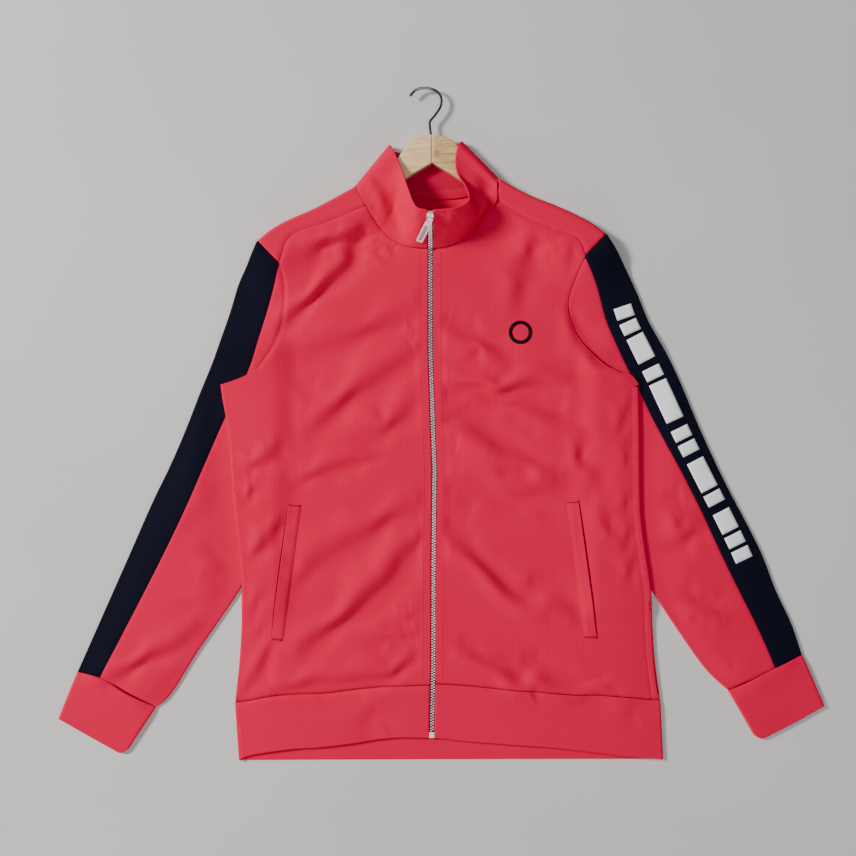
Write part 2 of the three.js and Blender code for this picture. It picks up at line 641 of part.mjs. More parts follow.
function sleeve({ name, outer, seam, inner, armhole, turn, limit, outSign }) {
  const turnY = armhole[turn][1];
  const height = sleeveHeight(outer, inner, limit, outSign);
  const outerEdge = shifted(cutAt(outer, turnY, armUpperSteps, sleeveSteps), outSign, -sleeveRoll);
  const seamEdge = cutAt(seam, turnY, armUpperSteps, sleeveSteps);
  const arm = armholeCurve(armhole, turn).upper.reverse();
  const innerFold = shifted(along(inner, sleeveSteps), -outSign, -sleeveRoll);
  const armEdge = shifted(arm, -outSign, -halfGap);
  const innerEdge = [...armEdge.slice(0, -1), ...innerFold];
  const low = () => backMid;
  const ends = (grid) => openSeams(grid, "bottom top", seamGap);

  // Stripe: from the front seam over the outer fold to the same seam on the underside
  const stripeSeam = shifted(seamEdge, outSign, halfGap);
  const stripeTop = lay(ends(ruled(stripeSeam, outerEdge, 3)), height);
  const foldRow = stripeTop.map((row) => row[3]);
  const turned = roll(foldRow, outwardOf(foldRow, outSign), sleeveRoll, low);
  const under = ruled(turned.map((row) => row[3]), stripeTop.map(([p]) => p.clone().setZ(backMid)), 2);
  const stripe = stripeTop.map((row, j) => [...row, ...turned[j].slice(1), ...under[j].slice(1)]);

  // Front length: from the stripe to the armhole, and below it round the inner fold
  const frontSeam = shifted(seamEdge, outSign, -halfGap);
  const frontTop = lay(ends(ruled(frontSeam, innerEdge, 4)), height);
  const foldRows = frontTop.slice(armUpperSteps).map((row) => row[4]);
  const innerTurned = roll(foldRows, outwardOf(foldRows, -outSign), sleeveRoll, low);

  // Back length, flat on the floor
  const backInner = frontTop.map((row, j) => {
    const drawn = row[4].clone().lerp(row[0], seamGap / row[4].distanceTo(row[0]));
    return drawn.setZ(backMid);
  });
  const back = ruled(frontTop.map(([p]) => p.clone().setZ(backMid)), backInner, 3);

  add(`sleeve_stripe_${name}`, wall([stripe], cloth), darkKnit);
  add(`sleeve_front_${name}`, wall([frontTop, innerTurned], cloth), redKnit);
  add(`sleeve_back_${name}`, wall([back], cloth), redKnit);
}
sleeve({
  name: "right", outer: outerRight, seam: stripeSeamRight, inner: innerRight,
  armhole: armholeRight, turn: 2, limit: limitRight, outSign: -1,
});
sleeve({
  name: "left", outer: outerLeft, seam: stripeSeamLeft, inner: innerLeft,
  armhole: armholeLeft, turn: 3, limit: limitLeft, outSign: 1,
});

// A flattened tube: front row and back row joined by a roll at each end
function ring(front, low, reach, turnSteps) {
  const last = front.length - 1;
  const across = front[last].clone().sub(front[0]).setZ(0).normalize();
  const [start, end] = [[front[0]], [front[last]]];
  const farRoll = roll(end, [across], reach, low, turnSteps)[0];
  const nearRoll = roll(start, [across.clone().negate()], reach, low, turnSteps)[0].reverse();
  const back = [...front].reverse().slice(1, -1).map((p) => p.clone().setZ(low()));
  return [...front, ...farRoll.slice(1), ...back, ...nearRoll.slice(0, -1), front[0]];
}

// Cuffs: rows from the sleeve to the open end
function cuff({ name, outer, inner, cuffSeam, cuffEdge, limit, outSign }) {
  const height = sleeveHeight(outer, inner, limit, outSign);
  const cuffRows = 3;
  const steps = 5;
  const top = along(cuffSeam, steps);
  const edge = along(cuffEdge, steps);
  const low = () => rib / 2;
  const ribRoll = 2.4;
  const cuffRest = rib / 2 + 3.4; // middle of the front wall at the open end
  const cuffStart = 0.005; // share of its length left open at the sleeve
  const rows = Array.from({ length: cuffRows + 1 }, (_, j) => {
    const v = j / cuffRows;
    const row = top.map((p, i) => p.clone().lerp(edge[i], lerp(cuffStart, 1, v)));
    const inset = (from, to) => from.clone().lerp(to, ribRoll / from.distanceTo(to));
    [row[0], row[steps]] = [inset(row[0], row[1]), inset(row[steps], row[steps - 1])];
    row.forEach((p) => p.setZ(lerp(Math.max(height(p.x, p.y), cuffRest), cuffRest, Math.sqrt(v))));
    return ring(row, low, ribRoll, 3);
  });
  add(`cuff_${name}`, wall([rows], rib), redRib);
}
cuff({
  name: "right", outer: outerRight, inner: innerRight, cuffSeam: cuffSeamRight,
  cuffEdge: cuffEdgeRight, limit: limitRight, outSign: -1,
});
cuff({
  name: "left", outer: outerLeft, inner: innerLeft, cuffSeam: cuffSeamLeft,
  cuffEdge: cuffEdgeLeft, limit: limitLeft, outSign: 1,
});

// Hem band: one strip from the zip round the back to the zip, open there
function hemBand() {
  const frontSteps = (neckRight.length - 1) * 2;
  const frontStepsLeft = (neckLeft.length - 1) * 2;
  const bandRows = 3;
  const backSteps = 12;
  const bandRoll = 2.6;
  const bandGap = 0.5;
  const low = () => rib / 2;
  const bandHeight = (x, y) => frontHeight(x, y) + (rib - cloth);
  const seamRight = shifted(along(hemSeamRight, frontSteps), 1, -bandGap).reverse();
  const seamLeft = shifted(along(hemSeamLeft, frontStepsLeft), -1, -bandGap);
  const edgeRight = along(hemEdgeRight, frontSteps).reverse();
  const edgeLeft = along(hemEdgeLeft, frontStepsLeft);
  const backSeam = along(backHem, backSteps).map((p) => p.setY(p.y - seamGap - 1));
  const backEdge = along(backHemEdge, backSteps);
  const rows = Array.from({ length: bandRows + 1 }, (_, j) => {
    const v = j / bandRows;
    const between = (edge, seam) => edge.map((p, i) => p.clone().lerp(seam[i], v));
    const right = between(edgeRight, seamRight);
    const left = between(edgeLeft, seamLeft);
    right[0].setX(zipX(right[0].y) - zipGap);
    left[frontStepsLeft].setX(zipX(left[frontStepsLeft].y) + zipGap);
    right[frontSteps].x += bandRoll;
    left[0].x -= bandRoll;
    [...right, ...left].forEach((p) => p.setZ(bandHeight(p.x, p.y)));
    const acrossLeft = new THREE.Vector3(1, 0, 0);
    const rollRight = roll([right[frontSteps]], [acrossLeft.clone().negate()], bandRoll, low, 4)[0];
    const rollLeft = roll([left[0]], [acrossLeft], bandRoll, low, 4)[0].reverse();
    const back = between(backEdge, backSeam).slice(1, -1).map((p) => p.setZ(rib / 2));
    return [...right, ...rollRight.slice(1), ...back, ...rollLeft.slice(0, -1), ...left];
  });
  return wall([rows], rib);
}
add("hem_band", hemBand(), redRib);

// Collar: one strip of stations, each climbing from the neck seam to the top edge
function collarStation(seam, top, rise, dip) {
  return Array.from({ length: collarRows + 1 }, (_, i) => {
    const v = i / collarRows;
    const point = seam.clone().lerp(top, v);
    return point.setZ(lerp(seam.z, top.z, v ** rise) - dip * Math.sin(Math.PI * v));
  });
}

function collar() {
  const flat = collarCloth / 2;
  const standing = ([sx, sy, tx, ty, tz, rise, dip]) => collarStation(
    new THREE.Vector3(sx, sy, frontHeight(sx, sy) + collarSeamLift),
    new THREE.Vector3(tx, ty, tz), rise, dip);
  const folded = ([sx, sy, tx, ty, z]) => collarStation(
    new THREE.Vector3(sx, sy, z), new THREE.Vector3(tx, ty, z), 1, 0);
  const lying = ([sx, sy, tx, ty]) => folded([sx, sy, tx, ty, flat]);
  const strip = [
    ...collarRight.map(standing), ...collarFoldRight.map(folded), ...collarBack.map(lying),
    ...collarFoldLeft.map(folded), ...collarLeft.map(standing),
  ];
  return openSeams(strip, "left", 0.36);
}
const collarGrid = collar();
add("collar", wall([collarGrid], collarCloth), redKnit);

// Neck tape over the inside of the back neck seam
function neckTape() {
  const seam = along(collarBack, 40).filter(({ x }) => x >= tapeSpan[0] && x <= tapeSpan[1]);
  const every = seam.filter((_, i) => i % 4 === 0);
  const z = collarCloth + seamGap + tapeThick / 2;
  const rows = [-tapeHalf, tapeHalf].map((offset) => every.map(({ x, y }) =>
    new THREE.Vector3(x, y + offset, z)));
  return wall([rows], tapeThick);
}
add("neck_tape", neckTape(), redKnit);

// Height and slope of a laid panel's own facets at a place in plan
function onPanel(grid, x, y) {
  for (let j = 1; j < grid.length; j += 1) {
    for (let i = 1; i < grid[j].length; i += 1) {
      const [a, b, c, d] = [grid[j - 1][i - 1], grid[j - 1][i], grid[j][i], grid[j][i - 1]];
      const split = a.distanceTo(c) < b.distanceTo(d) ? [[a, b, c], [a, c, d]] : [[a, b, d], [b, c, d]];
      for (const [p, q, r] of split) {
        const flat = new THREE.Triangle(...[p, q, r].map((v) => v.clone().setZ(0)));
        const weights = flat.getBarycoord(new THREE.Vector3(x, y, 0), new THREE.Vector3());
        if (weights && Math.min(weights.x, weights.y, weights.z) >= -1e-6) {
          return p.z * weights.x + q.z * weights.y + r.z * weights.z;
        }
      }
    }
  }
  return frontHeight(x, y);
}

// Pocket welts: strips made from the front's own points, moved out
function welt(name, corners, grid) {
  const [upperOut, upperIn, lowerIn, lowerOut] = exact(corners);
  const long = 16;
  const wide = 2;
  const clear = cloth + seamGap;
  const rows = Array.from({ length: long + 1 }, (_, j) => {
    const v = j / long;
    const from = upperOut.clone().lerp(lowerOut, v);
    const to = upperIn.clone().lerp(lowerIn, v);
    return Array.from({ length: wide + 1 }, (_, i) => {
      const p = from.clone().lerp(to, i / wide);
      const around = [-9, -4, 0, 4, 9].flatMap((dy) => [-7, 0, 7].map((dx) =>
        onPanel(grid, p.x + dx, p.y + dy) - Math.hypot(dx, dy) * 0.12));
      return p.setZ(Math.max(...around) + clear + 0.1);
    });
  });
  add(`pocket_welt_${name}`, wall([rows], cloth), redKnit);
}
welt("right", weltRight, frontRightGrid);
welt("left", weltLeft, frontLeftGrid);

// The line of the zip in space: up the front edges, then up the standing collar
const stopTop = 35;
const collarFront = collarGrid[0].map((p, i) => p.clone().lerp(collarGrid.at(-1)[i], 0.5));
const alongCollar = (share) => collarFront[0].clone().lerp(collarFront[collarRows], share);
const collarHigh = collarFront[0].distanceTo(collarFront[collarRows]);
const sliderFoot = 1 - (sliderLong + 2) / collarHigh;

function chain() {
  const body = frontRightGrid.map((row, j) => {
    const right = row[row.length - 1];
    const left = frontLeftGrid[j].at(-1);
    return new THREE.Vector3(zipX(right.y), right.y, (right.z + left.z) / 2);
  });
  const foot = [stopTop + seamGap, 63].map((y) => new THREE.Vector3(zipX(y), y, frontHeight(0, y)));
  const up = [0.1, 0.4, sliderFoot - seamGap / collarHigh].map(alongCollar);
  const route = [...foot, ...body, ...up];
  const side = new THREE.Vector3(chainHalf, 0, 0);
  return wall([route.map((p) => [p.clone().sub(side), p.clone().add(side)])], chainThick);
}
add("zip_chain", chain(), silver);

const stop = new THREE.BoxGeometry(chainHalf * 2, 7, 3.6);
add("zip_bottom_stop", stop, silver).position.set(zipX(31), stopTop - 3.5, frontHeight(0, 31) + 0.4);

// Slider and pull tab, in a frame whose Y runs up the collar and whose Z faces out of it
const slopeY = collarFront[collarRows].clone().sub(collarFront[0]).setX(0).normalize();
const slopeZ = new THREE.Vector3(1, 0, 0).cross(slopeY);
const onCollar = new THREE.Group();
const slopeBasis = new THREE.Matrix4().makeBasis(new THREE.Vector3(1, 0, 0), slopeY, slopeZ);
onCollar.quaternion.setFromRotationMatrix(slopeBasis);
onCollar.position.copy(alongCollar(sliderFoot));
jacket.add(onCollar);

const solid = (geometry) => {
  const plain = geometry.index ? geometry.toNonIndexed() : geometry.clone();
  plain.deleteAttribute("normal");
  plain.deleteAttribute("uv");
  const merged = mergeVertices(plain, 1e-4);
  return new wasm.Manifold(new wasm.Mesh({
    numProp: 3,
    vertProperties: merged.attributes.position.array,
    triVerts: new Uint32Array(merged.index.array),
  }));
};
const geometryOf = (manifold) => {
  const mesh = manifold.getMesh();
  const geometry = new THREE.BufferGeometry();
  geometry.setAttribute("position", new THREE.Float32BufferAttribute(mesh.vertProperties, 3));
  geometry.setIndex(Array.from(mesh.triVerts));
  geometry.computeVertexNormals();
  return geometry;
};

const plateBase = collarCloth / 2 + seamGap;
const plateTop = plateBase + sliderPlate;
const archLong = 6.8;
const archHigh = bridgeRoom + bridgeBar;
const archFoot = 1.5;
const barPlace = archFoot + archLong / 2; // the tab's bar turns in the middle of the bridge
const standUp = new THREE.Matrix4().makeBasis(
  new THREE.Vector3(0, 1, 0), new THREE.Vector3(0, 0, 1), new THREE.Vector3(1, 0, 0));
function slider() {
  const plate = new THREE.Shape();
  plate.moveTo(-sliderHalf + 1.4, 0).lineTo(sliderHalf - 1.4, 0).lineTo(sliderHalf, sliderLong * 0.6);
  plate.lineTo(sliderHalf - 1.2, sliderLong).lineTo(1.2 - sliderHalf, sliderLong);
  plate.lineTo(-sliderHalf, sliderLong * 0.6).closePath();
  const bevel = 0.7;
  const top = new THREE.ExtrudeGeometry(plate, {
    depth: sliderPlate - bevel * 2, bevelEnabled: true, bevelSize: bevel, bevelOffset: -bevel,
    bevelThickness: bevel, bevelSegments: 2,
  }).translate(0, 0, plateBase + bevel);
  const post = new THREE.BoxGeometry(chainHalf * 2 - 0.6, sliderLong - 1, 2.6)
    .translate(0, sliderLong / 2, plateBase - 1);
  const arch = new THREE.Shape();
  arch.moveTo(0, -0.5).lineTo(0, archHigh - 1).lineTo(1, archHigh).lineTo(archLong - 1, archHigh);
  arch.lineTo(archLong, archHigh - 1).lineTo(archLong, -0.5).closePath();
  const room = new THREE.Path();
  room.moveTo(bridgeBar, 0).lineTo(archLong - bridgeBar, 0).lineTo(archLong - bridgeBar, bridgeRoom);
  room.lineTo(bridgeBar, bridgeRoom).closePath();
  arch.holes.push(room);
  const bridge = new THREE.ExtrudeGeometry(arch, { depth: bridgeHalf * 2, bevelEnabled: false })
    .translate(0, 0, -bridgeHalf)
    .applyMatrix4(standUp)
    .translate(0, archFoot, plateTop);
  const made = solid(top).add(solid(post)).add(solid(bridge));
  const mesh = new THREE.Mesh(geometryOf(made), silver);
  mesh.name = "zip_slider";
  onCollar.add(mesh);
}
slider();

// Pull tab: its bar lies under the slider's bridge, and the plate hangs down the collar
const pull = new THREE.Group();
pull.position.set(0, barPlace, plateTop + bridgeRoom / 2);
pull.rotation.z = THREE.MathUtils.degToRad(pullLean);
onCollar.add(pull);

function pullTab() {
  const head = 3.6;
  const bar = 0.75;
  const roomHalf = 2.5;
  const roomLong = 5.2;
  const outline = new THREE.Shape();
  outline.moveTo(-head, bar).lineTo(head, bar).lineTo(head, -roomLong - 0.6);
  outline.lineTo(pullHalf, -roomLong - 2.5).lineTo(pullHalf, -pullLong + 1);
  outline.lineTo(pullHalf - 1, -pullLong).lineTo(1 - pullHalf, -pullLong);
  outline.lineTo(-pullHalf, -pullLong + 1).lineTo(-pullHalf, -roomLong - 2.5);
  outline.lineTo(-head, -roomLong - 0.6).closePath();
  const room = new THREE.Path();
  room.moveTo(-roomHalf, -bar).lineTo(-roomHalf, -roomLong).lineTo(roomHalf, -roomLong);
  room.lineTo(roomHalf, -bar).closePath();
  outline.holes.push(room);
  const geometry = new THREE.ExtrudeGeometry(outline, { depth: pullThick, bevelEnabled: false })
    .translate(0, 0, -pullThick / 2);
  const mesh = new THREE.Mesh(geometry, silver);
  mesh.name = "zip_pull";
  mesh.rotation.x = pullDrop;
  pull.add(mesh);
}
pullTab();

// Hanger: two arms glued at the middle
function hangerArm(name, sign, material) {
  const upper = new THREE.SplineCurve(armTable.map(([x, y]) => new THREE.Vector2(x * sign, y)));
  const lower = new THREE.SplineCurve(armTable.map(([x, , y]) => new THREE.Vector2(x * sign, y)));
  const tip = new THREE.Vector2(armTip[0] * sign, armTip[1]);
  const outline = [...upper.getPoints(22), tip, ...lower.getPoints(14).reverse()];
  const geometry = new THREE.ExtrudeGeometry(new THREE.Shape(outline), {
    depth: hangerThick - hangerEdge * 2, bevelEnabled: true, bevelSize: hangerEdge,
    bevelOffset: -hangerEdge, bevelThickness: hangerEdge, bevelSegments: 2,
  });
  add(name, geometry, material).position.z = hangerFloor + hangerEdge;
}
hangerArm("hanger_arm_right", -1, beech);
hangerArm("hanger_arm_left", 1, beechWarm);

function hook() {
  const wire = new THREE.Shape().absarc(0, 0, hookWire / 2, 0, Math.PI * 2);
  const z = hangerFloor + hangerThick / 2;
  const route = new THREE.CatmullRomCurve3(
    hookRoute.map(([x, y]) => new THREE.Vector3(x, y, z)), false, "centripetal");
  return new THREE.ExtrudeGeometry(wire, {
    steps: 36, curveSegments: 5, bevelEnabled: false, extrudePath: route,
  });
}
add("hanger_hook", hook(), darkChrome);

// The origin lies under the middle of the whole, on the floor
const reach = new THREE.Box3().setFromObject(jacket);
jacket.position.set(-(reach.min.x + reach.max.x) / 2, -(reach.min.y + reach.max.y) / 2, -reach.min.z);

export default jacket;
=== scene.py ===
# A zip-front track jacket laid flat, with a wooden hanger left in its neck.
# Sizes are in millimetres. The tables are in the garment's own frame: x is 0 on the zip, y is 0 on
# the lower edge of the back, and "right" and "left" are the wearer's.
import bpy
import json
import math
import numpy as np
from mathutils import Matrix, Vector
from mathutils.bvhtree import BVHTree

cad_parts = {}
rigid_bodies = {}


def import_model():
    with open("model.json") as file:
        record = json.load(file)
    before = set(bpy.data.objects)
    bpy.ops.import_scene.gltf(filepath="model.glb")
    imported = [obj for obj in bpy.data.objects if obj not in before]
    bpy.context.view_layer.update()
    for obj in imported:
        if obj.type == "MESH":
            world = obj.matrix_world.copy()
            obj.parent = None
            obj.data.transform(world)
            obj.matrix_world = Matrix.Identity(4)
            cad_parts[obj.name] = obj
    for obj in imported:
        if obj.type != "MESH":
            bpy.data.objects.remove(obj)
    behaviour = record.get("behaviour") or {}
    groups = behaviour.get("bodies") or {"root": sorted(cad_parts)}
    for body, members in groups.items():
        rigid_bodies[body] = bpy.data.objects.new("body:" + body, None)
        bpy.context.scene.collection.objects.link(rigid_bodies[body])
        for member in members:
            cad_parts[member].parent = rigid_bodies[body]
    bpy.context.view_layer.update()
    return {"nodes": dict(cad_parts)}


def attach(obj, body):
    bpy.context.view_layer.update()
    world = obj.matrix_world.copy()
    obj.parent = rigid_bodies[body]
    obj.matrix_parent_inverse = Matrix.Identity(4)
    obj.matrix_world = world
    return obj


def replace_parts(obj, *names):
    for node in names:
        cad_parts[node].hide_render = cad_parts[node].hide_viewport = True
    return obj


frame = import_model()

# camera: straight above the jacket, as the picture was taken from
look = {"over": (-5.0, 413.0), "height": 1250.0, "widthSeen": 1070.0}
toRow = np.array([-11.84, -417.73, 0.0])  # from the garment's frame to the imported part's

cameraData = bpy.data.cameras.new("camera")
cameraData.sensor_width = 36
cameraData.lens = 36 * look["height"] / look["widthSeen"]
camera = bpy.data.objects.new("camera", cameraData)
bpy.context.scene.collection.objects.link(camera)
camera.location = (np.array([*look["over"], look["height"]]) + toRow) / 1000
bpy.context.scene.camera = camera

# how the cloth lies
cloth = {
    "thick": 1.2, "rib": 1.8, "collar": 1.8, "backMid": 0.6, "restGap": 5.0, "edgeGap": 2.8,
    "edgeWidth": 26, "sleeveGap": 2.8, "sleevePuff": 3.2, "tuckLift": 4.7, "leastGap": 1.6,
    "sideRoll": 2.2, "sleeveRoll": 2.0, "shoulderRoll": 4.0, "sideSeamInset": 6.5,
    "seamOpen": 0.2,     # half of the hairline between two sewn pieces
    "placket": 13.0,     # the stiff strip each side of the zip, which no fold crosses
}
# how deep the cloth is drawn down at each kind of seam, and how far from it
seamDips = {"plain": (0.9, 3.2), "hem": (1.5, 3.0), "armhole": (0.45, 2.4), "stripe": (0.45, 2.2),
            "sleeveEnd": (0.6, 3.2), "sideStrip": (0.4, 2.0), "weltFold": (1.25, 2.6), "weltEnd": (0.6, 2.5)}
litSide = (-0.98, 0.15)  # the way the light comes from, in the plan
chainHalf = 3.2  # half the width of the zip
zipGap = chainHalf + 0.3  # from the zip's middle to the edge of a front
hanger = {"floor": 3.4, "thick": 11.0}

# outlines, columns x, y
sideRight = [(-245, 71), (-239, 131), (-236, 221), (-240, 267), (-246, 323), (-252, 402),
             (-256, 428), (-260, 449), (-262.5, 467)]
sideLeft = [(283.8, 75.6), (277.5, 124), (271, 218), (264, 266), (259, 307), (257.5, 411), (256, 464)]
armholeRight = [(-262.5, 467), (-234, 477), (-216, 488), (-195, 519), (-185, 552), (-184, 597),
                (-189.4, 618)]
armholeLeft = [(256, 464), (245, 479), (231, 482), (215, 490), (199, 504), (181, 525), (171, 546),
               (167.5, 565), (169, 578), (182.5, 613), (188.4, 626)]
shoulderSeamRight = [(-189.4, 618), (-175, 650), (-130, 668), (-81, 688.5)]
shoulderSeamLeft = [(188.4, 626), (180, 646), (149, 658), (115, 673), (80, 694)]
shoulderFoldRight = [(-95, 712), (-147, 684), (-179, 670), (-200, 658), (-216.5, 644.4)]
shoulderFoldLeft = [(82, 722), (119, 702), (157, 687), (195.5, 668), (216, 653)]
hemSeamRight = [(-245, 71), (-233, 72), (-203, 78), (-167, 81), (-131, 82), (-90, 87), (-60, 90),
                (-3, 92.5)]
hemSeamLeft = [(284, 74), (272, 74), (250, 76.5), (207, 80), (176, 81), (134, 84.5), (81, 88),
               (39.5, 92), (3, 94)]
hemEdgeRight = [(-240, -1), (-232, 4), (-175, 14), (-142, 16), (-100, 21), (-50, 28), (-3, 28)]
hemEdgeLeft = [(287.5, 0.6), (279, 1.3), (249, 3.6), (207, 9), (155, 15), (102, 19), (50, 23), (3, 28)]
backHem = [(-243, 70), (20, 69), (282, 73)]
backHemEdge = [(-238, -1), (20, 0), (285, 0.5)]
zipLine = [(-0.3, 31), (1.6, 118), (1.9, 246), (3.1, 361), (1.3, 408), (-2, 508), (-2, 637)]
outerRight = [(-216.5, 644.4), (-230, 615), (-240, 594), (-251.5, 557), (-271, 501), (-290, 454),
              (-307.5, 409), (-327, 364), (-346, 325), (-380, 248), (-441.5, 109)]
outerLeft = [(216, 653), (232, 628), (253, 586), (271, 543), (294.5, 501), (310, 468), (334, 411),
             (363, 349), (410, 257.5), (428, 211), (448, 168), (461, 130)]
stripeSeamRight = [(-189.4, 618), (-202.5, 568), (-219, 514), (-232, 478), (-257, 428), (-284, 366),
                   (-301, 325), (-338, 248), (-413, 102.5)]
stripeSeamLeft = [(188.4, 626), (204, 592), (218, 543), (237, 501), (256, 464), (276, 423), (326, 328),
                  (367, 241), (410, 154), (427, 114)]
innerRight = [(-216, 488), (-212, 455), (-216, 400), (-220, 323), (-223, 250), (-236, 219),
              (-293, 134), (-330, 77), (-345, 65)]
innerLeft = [(215, 490), (224, 455), (231, 400), (236, 323), (246, 255), (271, 216), (305, 164),
             (344, 110), (370, 86)]
cuffSeamRight = [(-441.5, 109), (-413, 102), (-384, 84), (-345, 65)]
cuffSeamLeft = [(461, 130), (427, 114), (385, 92), (370, 86)]
cuffEdgeRight = [(-465, 51), (-427.5, 29.5), (-388, 7.6), (-379, 13.5)]
cuffEdgeLeft = [(488.6, 67), (457, 49), (411, 25.4), (402, 30.5)]
limitRight = [(0, -241), (73, -245), (221, -236), (323, -246), (449, -260), (470, -264), (490, -272),
              (515, -265.5), (557, -251.5), (594, -240), (644, -217)]  # columns y, x
limitLeft = [(0, 287), (74, 284), (218, 271), (307, 259), (411, 257.5), (464, 258), (482, 280),
             (501, 294), (543, 271), (586, 253), (628, 232), (653, 216)]
armLine = [(60, 718), (95, 695), (140, 671), (180, 652), (203, 639)]

# folds of the fronts: height of the ridge over the trough, half width, and the line it runs on
bodyFolds = [
    (4.6, 8, [(-90, 657), (-100, 639), (-105, 618), (-126, 598), (-151, 574), (-175, 554), (-191, 536)]),
    (3.4, 7, [(-151, 634), (-131, 644), (-106, 649), (-89, 658)]),
    (1.4, 5, [(-82, 648), (-72, 647), (-62, 644)]),
    (1.2, 5, [(-54, 639), (-49, 629)]),
    (1.3, 5, [(-80, 634), (-69, 628), (-59, 623)]),
    (3.4, 14, [(-20, 558), (-60, 542), (-100, 528), (-141, 514), (-191, 501)]),
    (1.2, 6, [(-20, 531), (-36, 527)]),
    (4.2, 12, [(-20, 508), (-54, 486), (-79, 468), (-99, 456), (-121, 436), (-151, 412)]),
    (3.0, 11, [(-24, 449), (-40, 426), (-60, 412), (-92, 408)]),
    (1.2, 10, [(-172, 462), (-146, 449)]),
    (3.2, 8, [(-70, 376), (-95, 373), (-121, 366), (-146, 356), (-166, 349)]),
    (3.0, 8, [(-192, 392), (-202, 377), (-235, 363)]),
    (2.2, 7, [(-218, 343), (-231, 329), (-240, 336)]),
    (4.2, 14, [(-22, 313), (-50, 304), (-80, 284), (-110, 268), (-141, 251), (-162, 228)]),
    (3.2, 8, [(-189, 297), (-205, 274), (-222, 258), (-234, 256)]),
    (1.4, 8, [(-205, 218), (-231, 182)]),
    (1.0, 6, [(-208, 168), (-222, 154)]),
    (2.4, 8, [(-202, 142), (-219, 108), (-241, 84)]),
    (5.4, 12, [(-18, 273), (-40, 251), (-54, 228), (-80, 204), (-100, 184), (-131, 162), (-151, 149),
               (-161, 138)]),
    (2.0, 7, [(-20, 158), (-34, 153), (-54, 154), (-75, 152)]),
    (1.4, 7, [(-19, 181), (-46, 172)]),
    (4.2, 9, [(-26, 126), (-42, 113), (-50, 107), (-80, 103), (-110, 99), (-146, 99), (-166, 93),
              (-191, 91)]),
    (1.8, 9, [(124, 652), (118, 624)]),
    (1.2, 7, [(142, 642), (159, 639)]),
    (1.2, 7, [(171, 639), (168, 612)]),
    (2.6, 14, [(124, 640), (112, 612), (108, 590), (104, 566)]),
    (4.0, 10, [(16, 537), (40, 526), (66, 518), (91, 501)]),
    (4.6, 8, [(20, 467), (60, 466), (81, 458), (102, 464), (134, 471), (162, 467)]),
    (3.4, 9, [(94, 442), (124, 437), (144, 429), (158, 421), (180, 417)]),
    (4.2, 10, [(16, 417), (40, 417), (60, 404), (85, 387), (124, 372), (149, 359)]),
    (4.4, 14, [(29, 349), (60, 346), (91, 333), (112, 331), (161, 337)]),
    (3.0, 10, [(189, 402), (182, 377), (199, 356), (192, 331)]),
    (1.6, 8, [(248, 448), (232, 414)]),
    (1.3, 8, [(242, 396), (242, 364)]),
    (1.4, 8, [(245, 331), (235, 306)]),
    (1.5, 8, [(248, 291), (236, 263)]),
    (1.5, 8, [(254, 259), (241, 226)]),
    (1.4, 8, [(211, 313), (216, 293), (226, 276)]),
    (4.8, 10, [(14, 282), (31, 269), (50, 253), (71, 234), (96, 208), (115, 198), (128, 198),
               (144, 203), (164, 193), (176, 183)]),
    (4.8, 9, [(38, 137), (59, 124), (90, 112), (111, 99), (128, 108), (152, 97), (178, 91), (210, 96)]),
    (3.2, 9, [(170, 556), (178, 534), (192, 513), (205, 492), (241, 486)]),
    (1.4, 14, [(-54, 73), (-80, 57), (-96, 37)]),
    (1.2, 12, [(255, 72), (232, 53)]),
]
sleeveFolds = [
    (3.4, 9, [(-295, 161), (-316, 144), (-344, 133), (-378, 114), (-405, 101)]),
    (2.8, 10, [(-284, 254), (-240, 238)]),
    (2.6, 10, [(276, 316), (314, 309)]),
    (3.2, 10, [(272, 281), (305, 274), (330, 287)]),
    (2.8, 9, [(305, 196), (362, 186)]),
    (1.2, 8, [(362, 103), (398, 104)]),
    (1.4, 14, [(-250, 330), (-285, 312), (-312, 286)]),
    (1.2, 12, [(-262, 200), (-318, 196)]),
    (1.3, 13, [(262, 392), (292, 372)]),
]

# collar, station by station from the zip on the wearer's right round the back to the other side:
# neck seam x y, top edge x y z, rise (how late the wall climbs), dip (its sag midway), foot z
collarRight = [
    (-5.6, 637, -6.3, 674, 54, 1, 0), (-20, 637.5, -18, 677, 53, 1, 0), (-34, 640, -24, 687, 49, 1.2, 0),
    (-45, 645.5, -28, 699, 42, 1.6, 1), (-54, 651.5, -31, 708, 37, 1.9, 1),
    (-63, 661, -33.5, 717, 31, 1.8, 1), (-72, 673, -37, 729, 24.5, 1.3, 0),
    (-81, 688.5, -41, 740, 19.5, 1, 0), (-91, 705.5, -47.5, 755.5, 15.9, 1, 0),
]
collarFoldRight = [(-94.4, 711.5, -51.3, 762.5, 11.5), (-95, 713, -52.5, 764.5, 5)]
collarBack = [(-91, 711.5, -49, 759), (-45, 705.2, -29, 757), (0, 703.5, -6, 770),
              (42, 707, 14, 769), (80, 720.5, 31.5, 766.5)]
collarFoldLeft = [(82, 723, 37, 768.5, 5), (82, 721.5, 36, 767, 11.5)]
collarLeft = [
    (80.4, 715.5, 33, 763, 15.9, 1, 0), (80.2, 706, 29.5, 748, 17, 1, 0), (80, 694, 29.5, 733, 20, 1.1, 0),
    (74.5, 686, 33, 721, 25, 1.4, 1.5), (68, 677, 39, 709, 34, 1.6, 4), (60, 666.5, 43.5, 696, 43, 1.7, 5),
    (51.5, 656.5, 43.5, 687, 48, 1.6, 5), (41, 648.5, 38, 681, 51, 1.3, 3),
    (30, 643.5, 29, 677.5, 53, 1, 1), (16, 638.5, 15.5, 675, 54, 1, 0), (1.6, 636.5, 1.3, 674, 54, 1, 0),
]
weltRight = [(-178, 319), (-162, 318), (-185, 147), (-200, 149)]
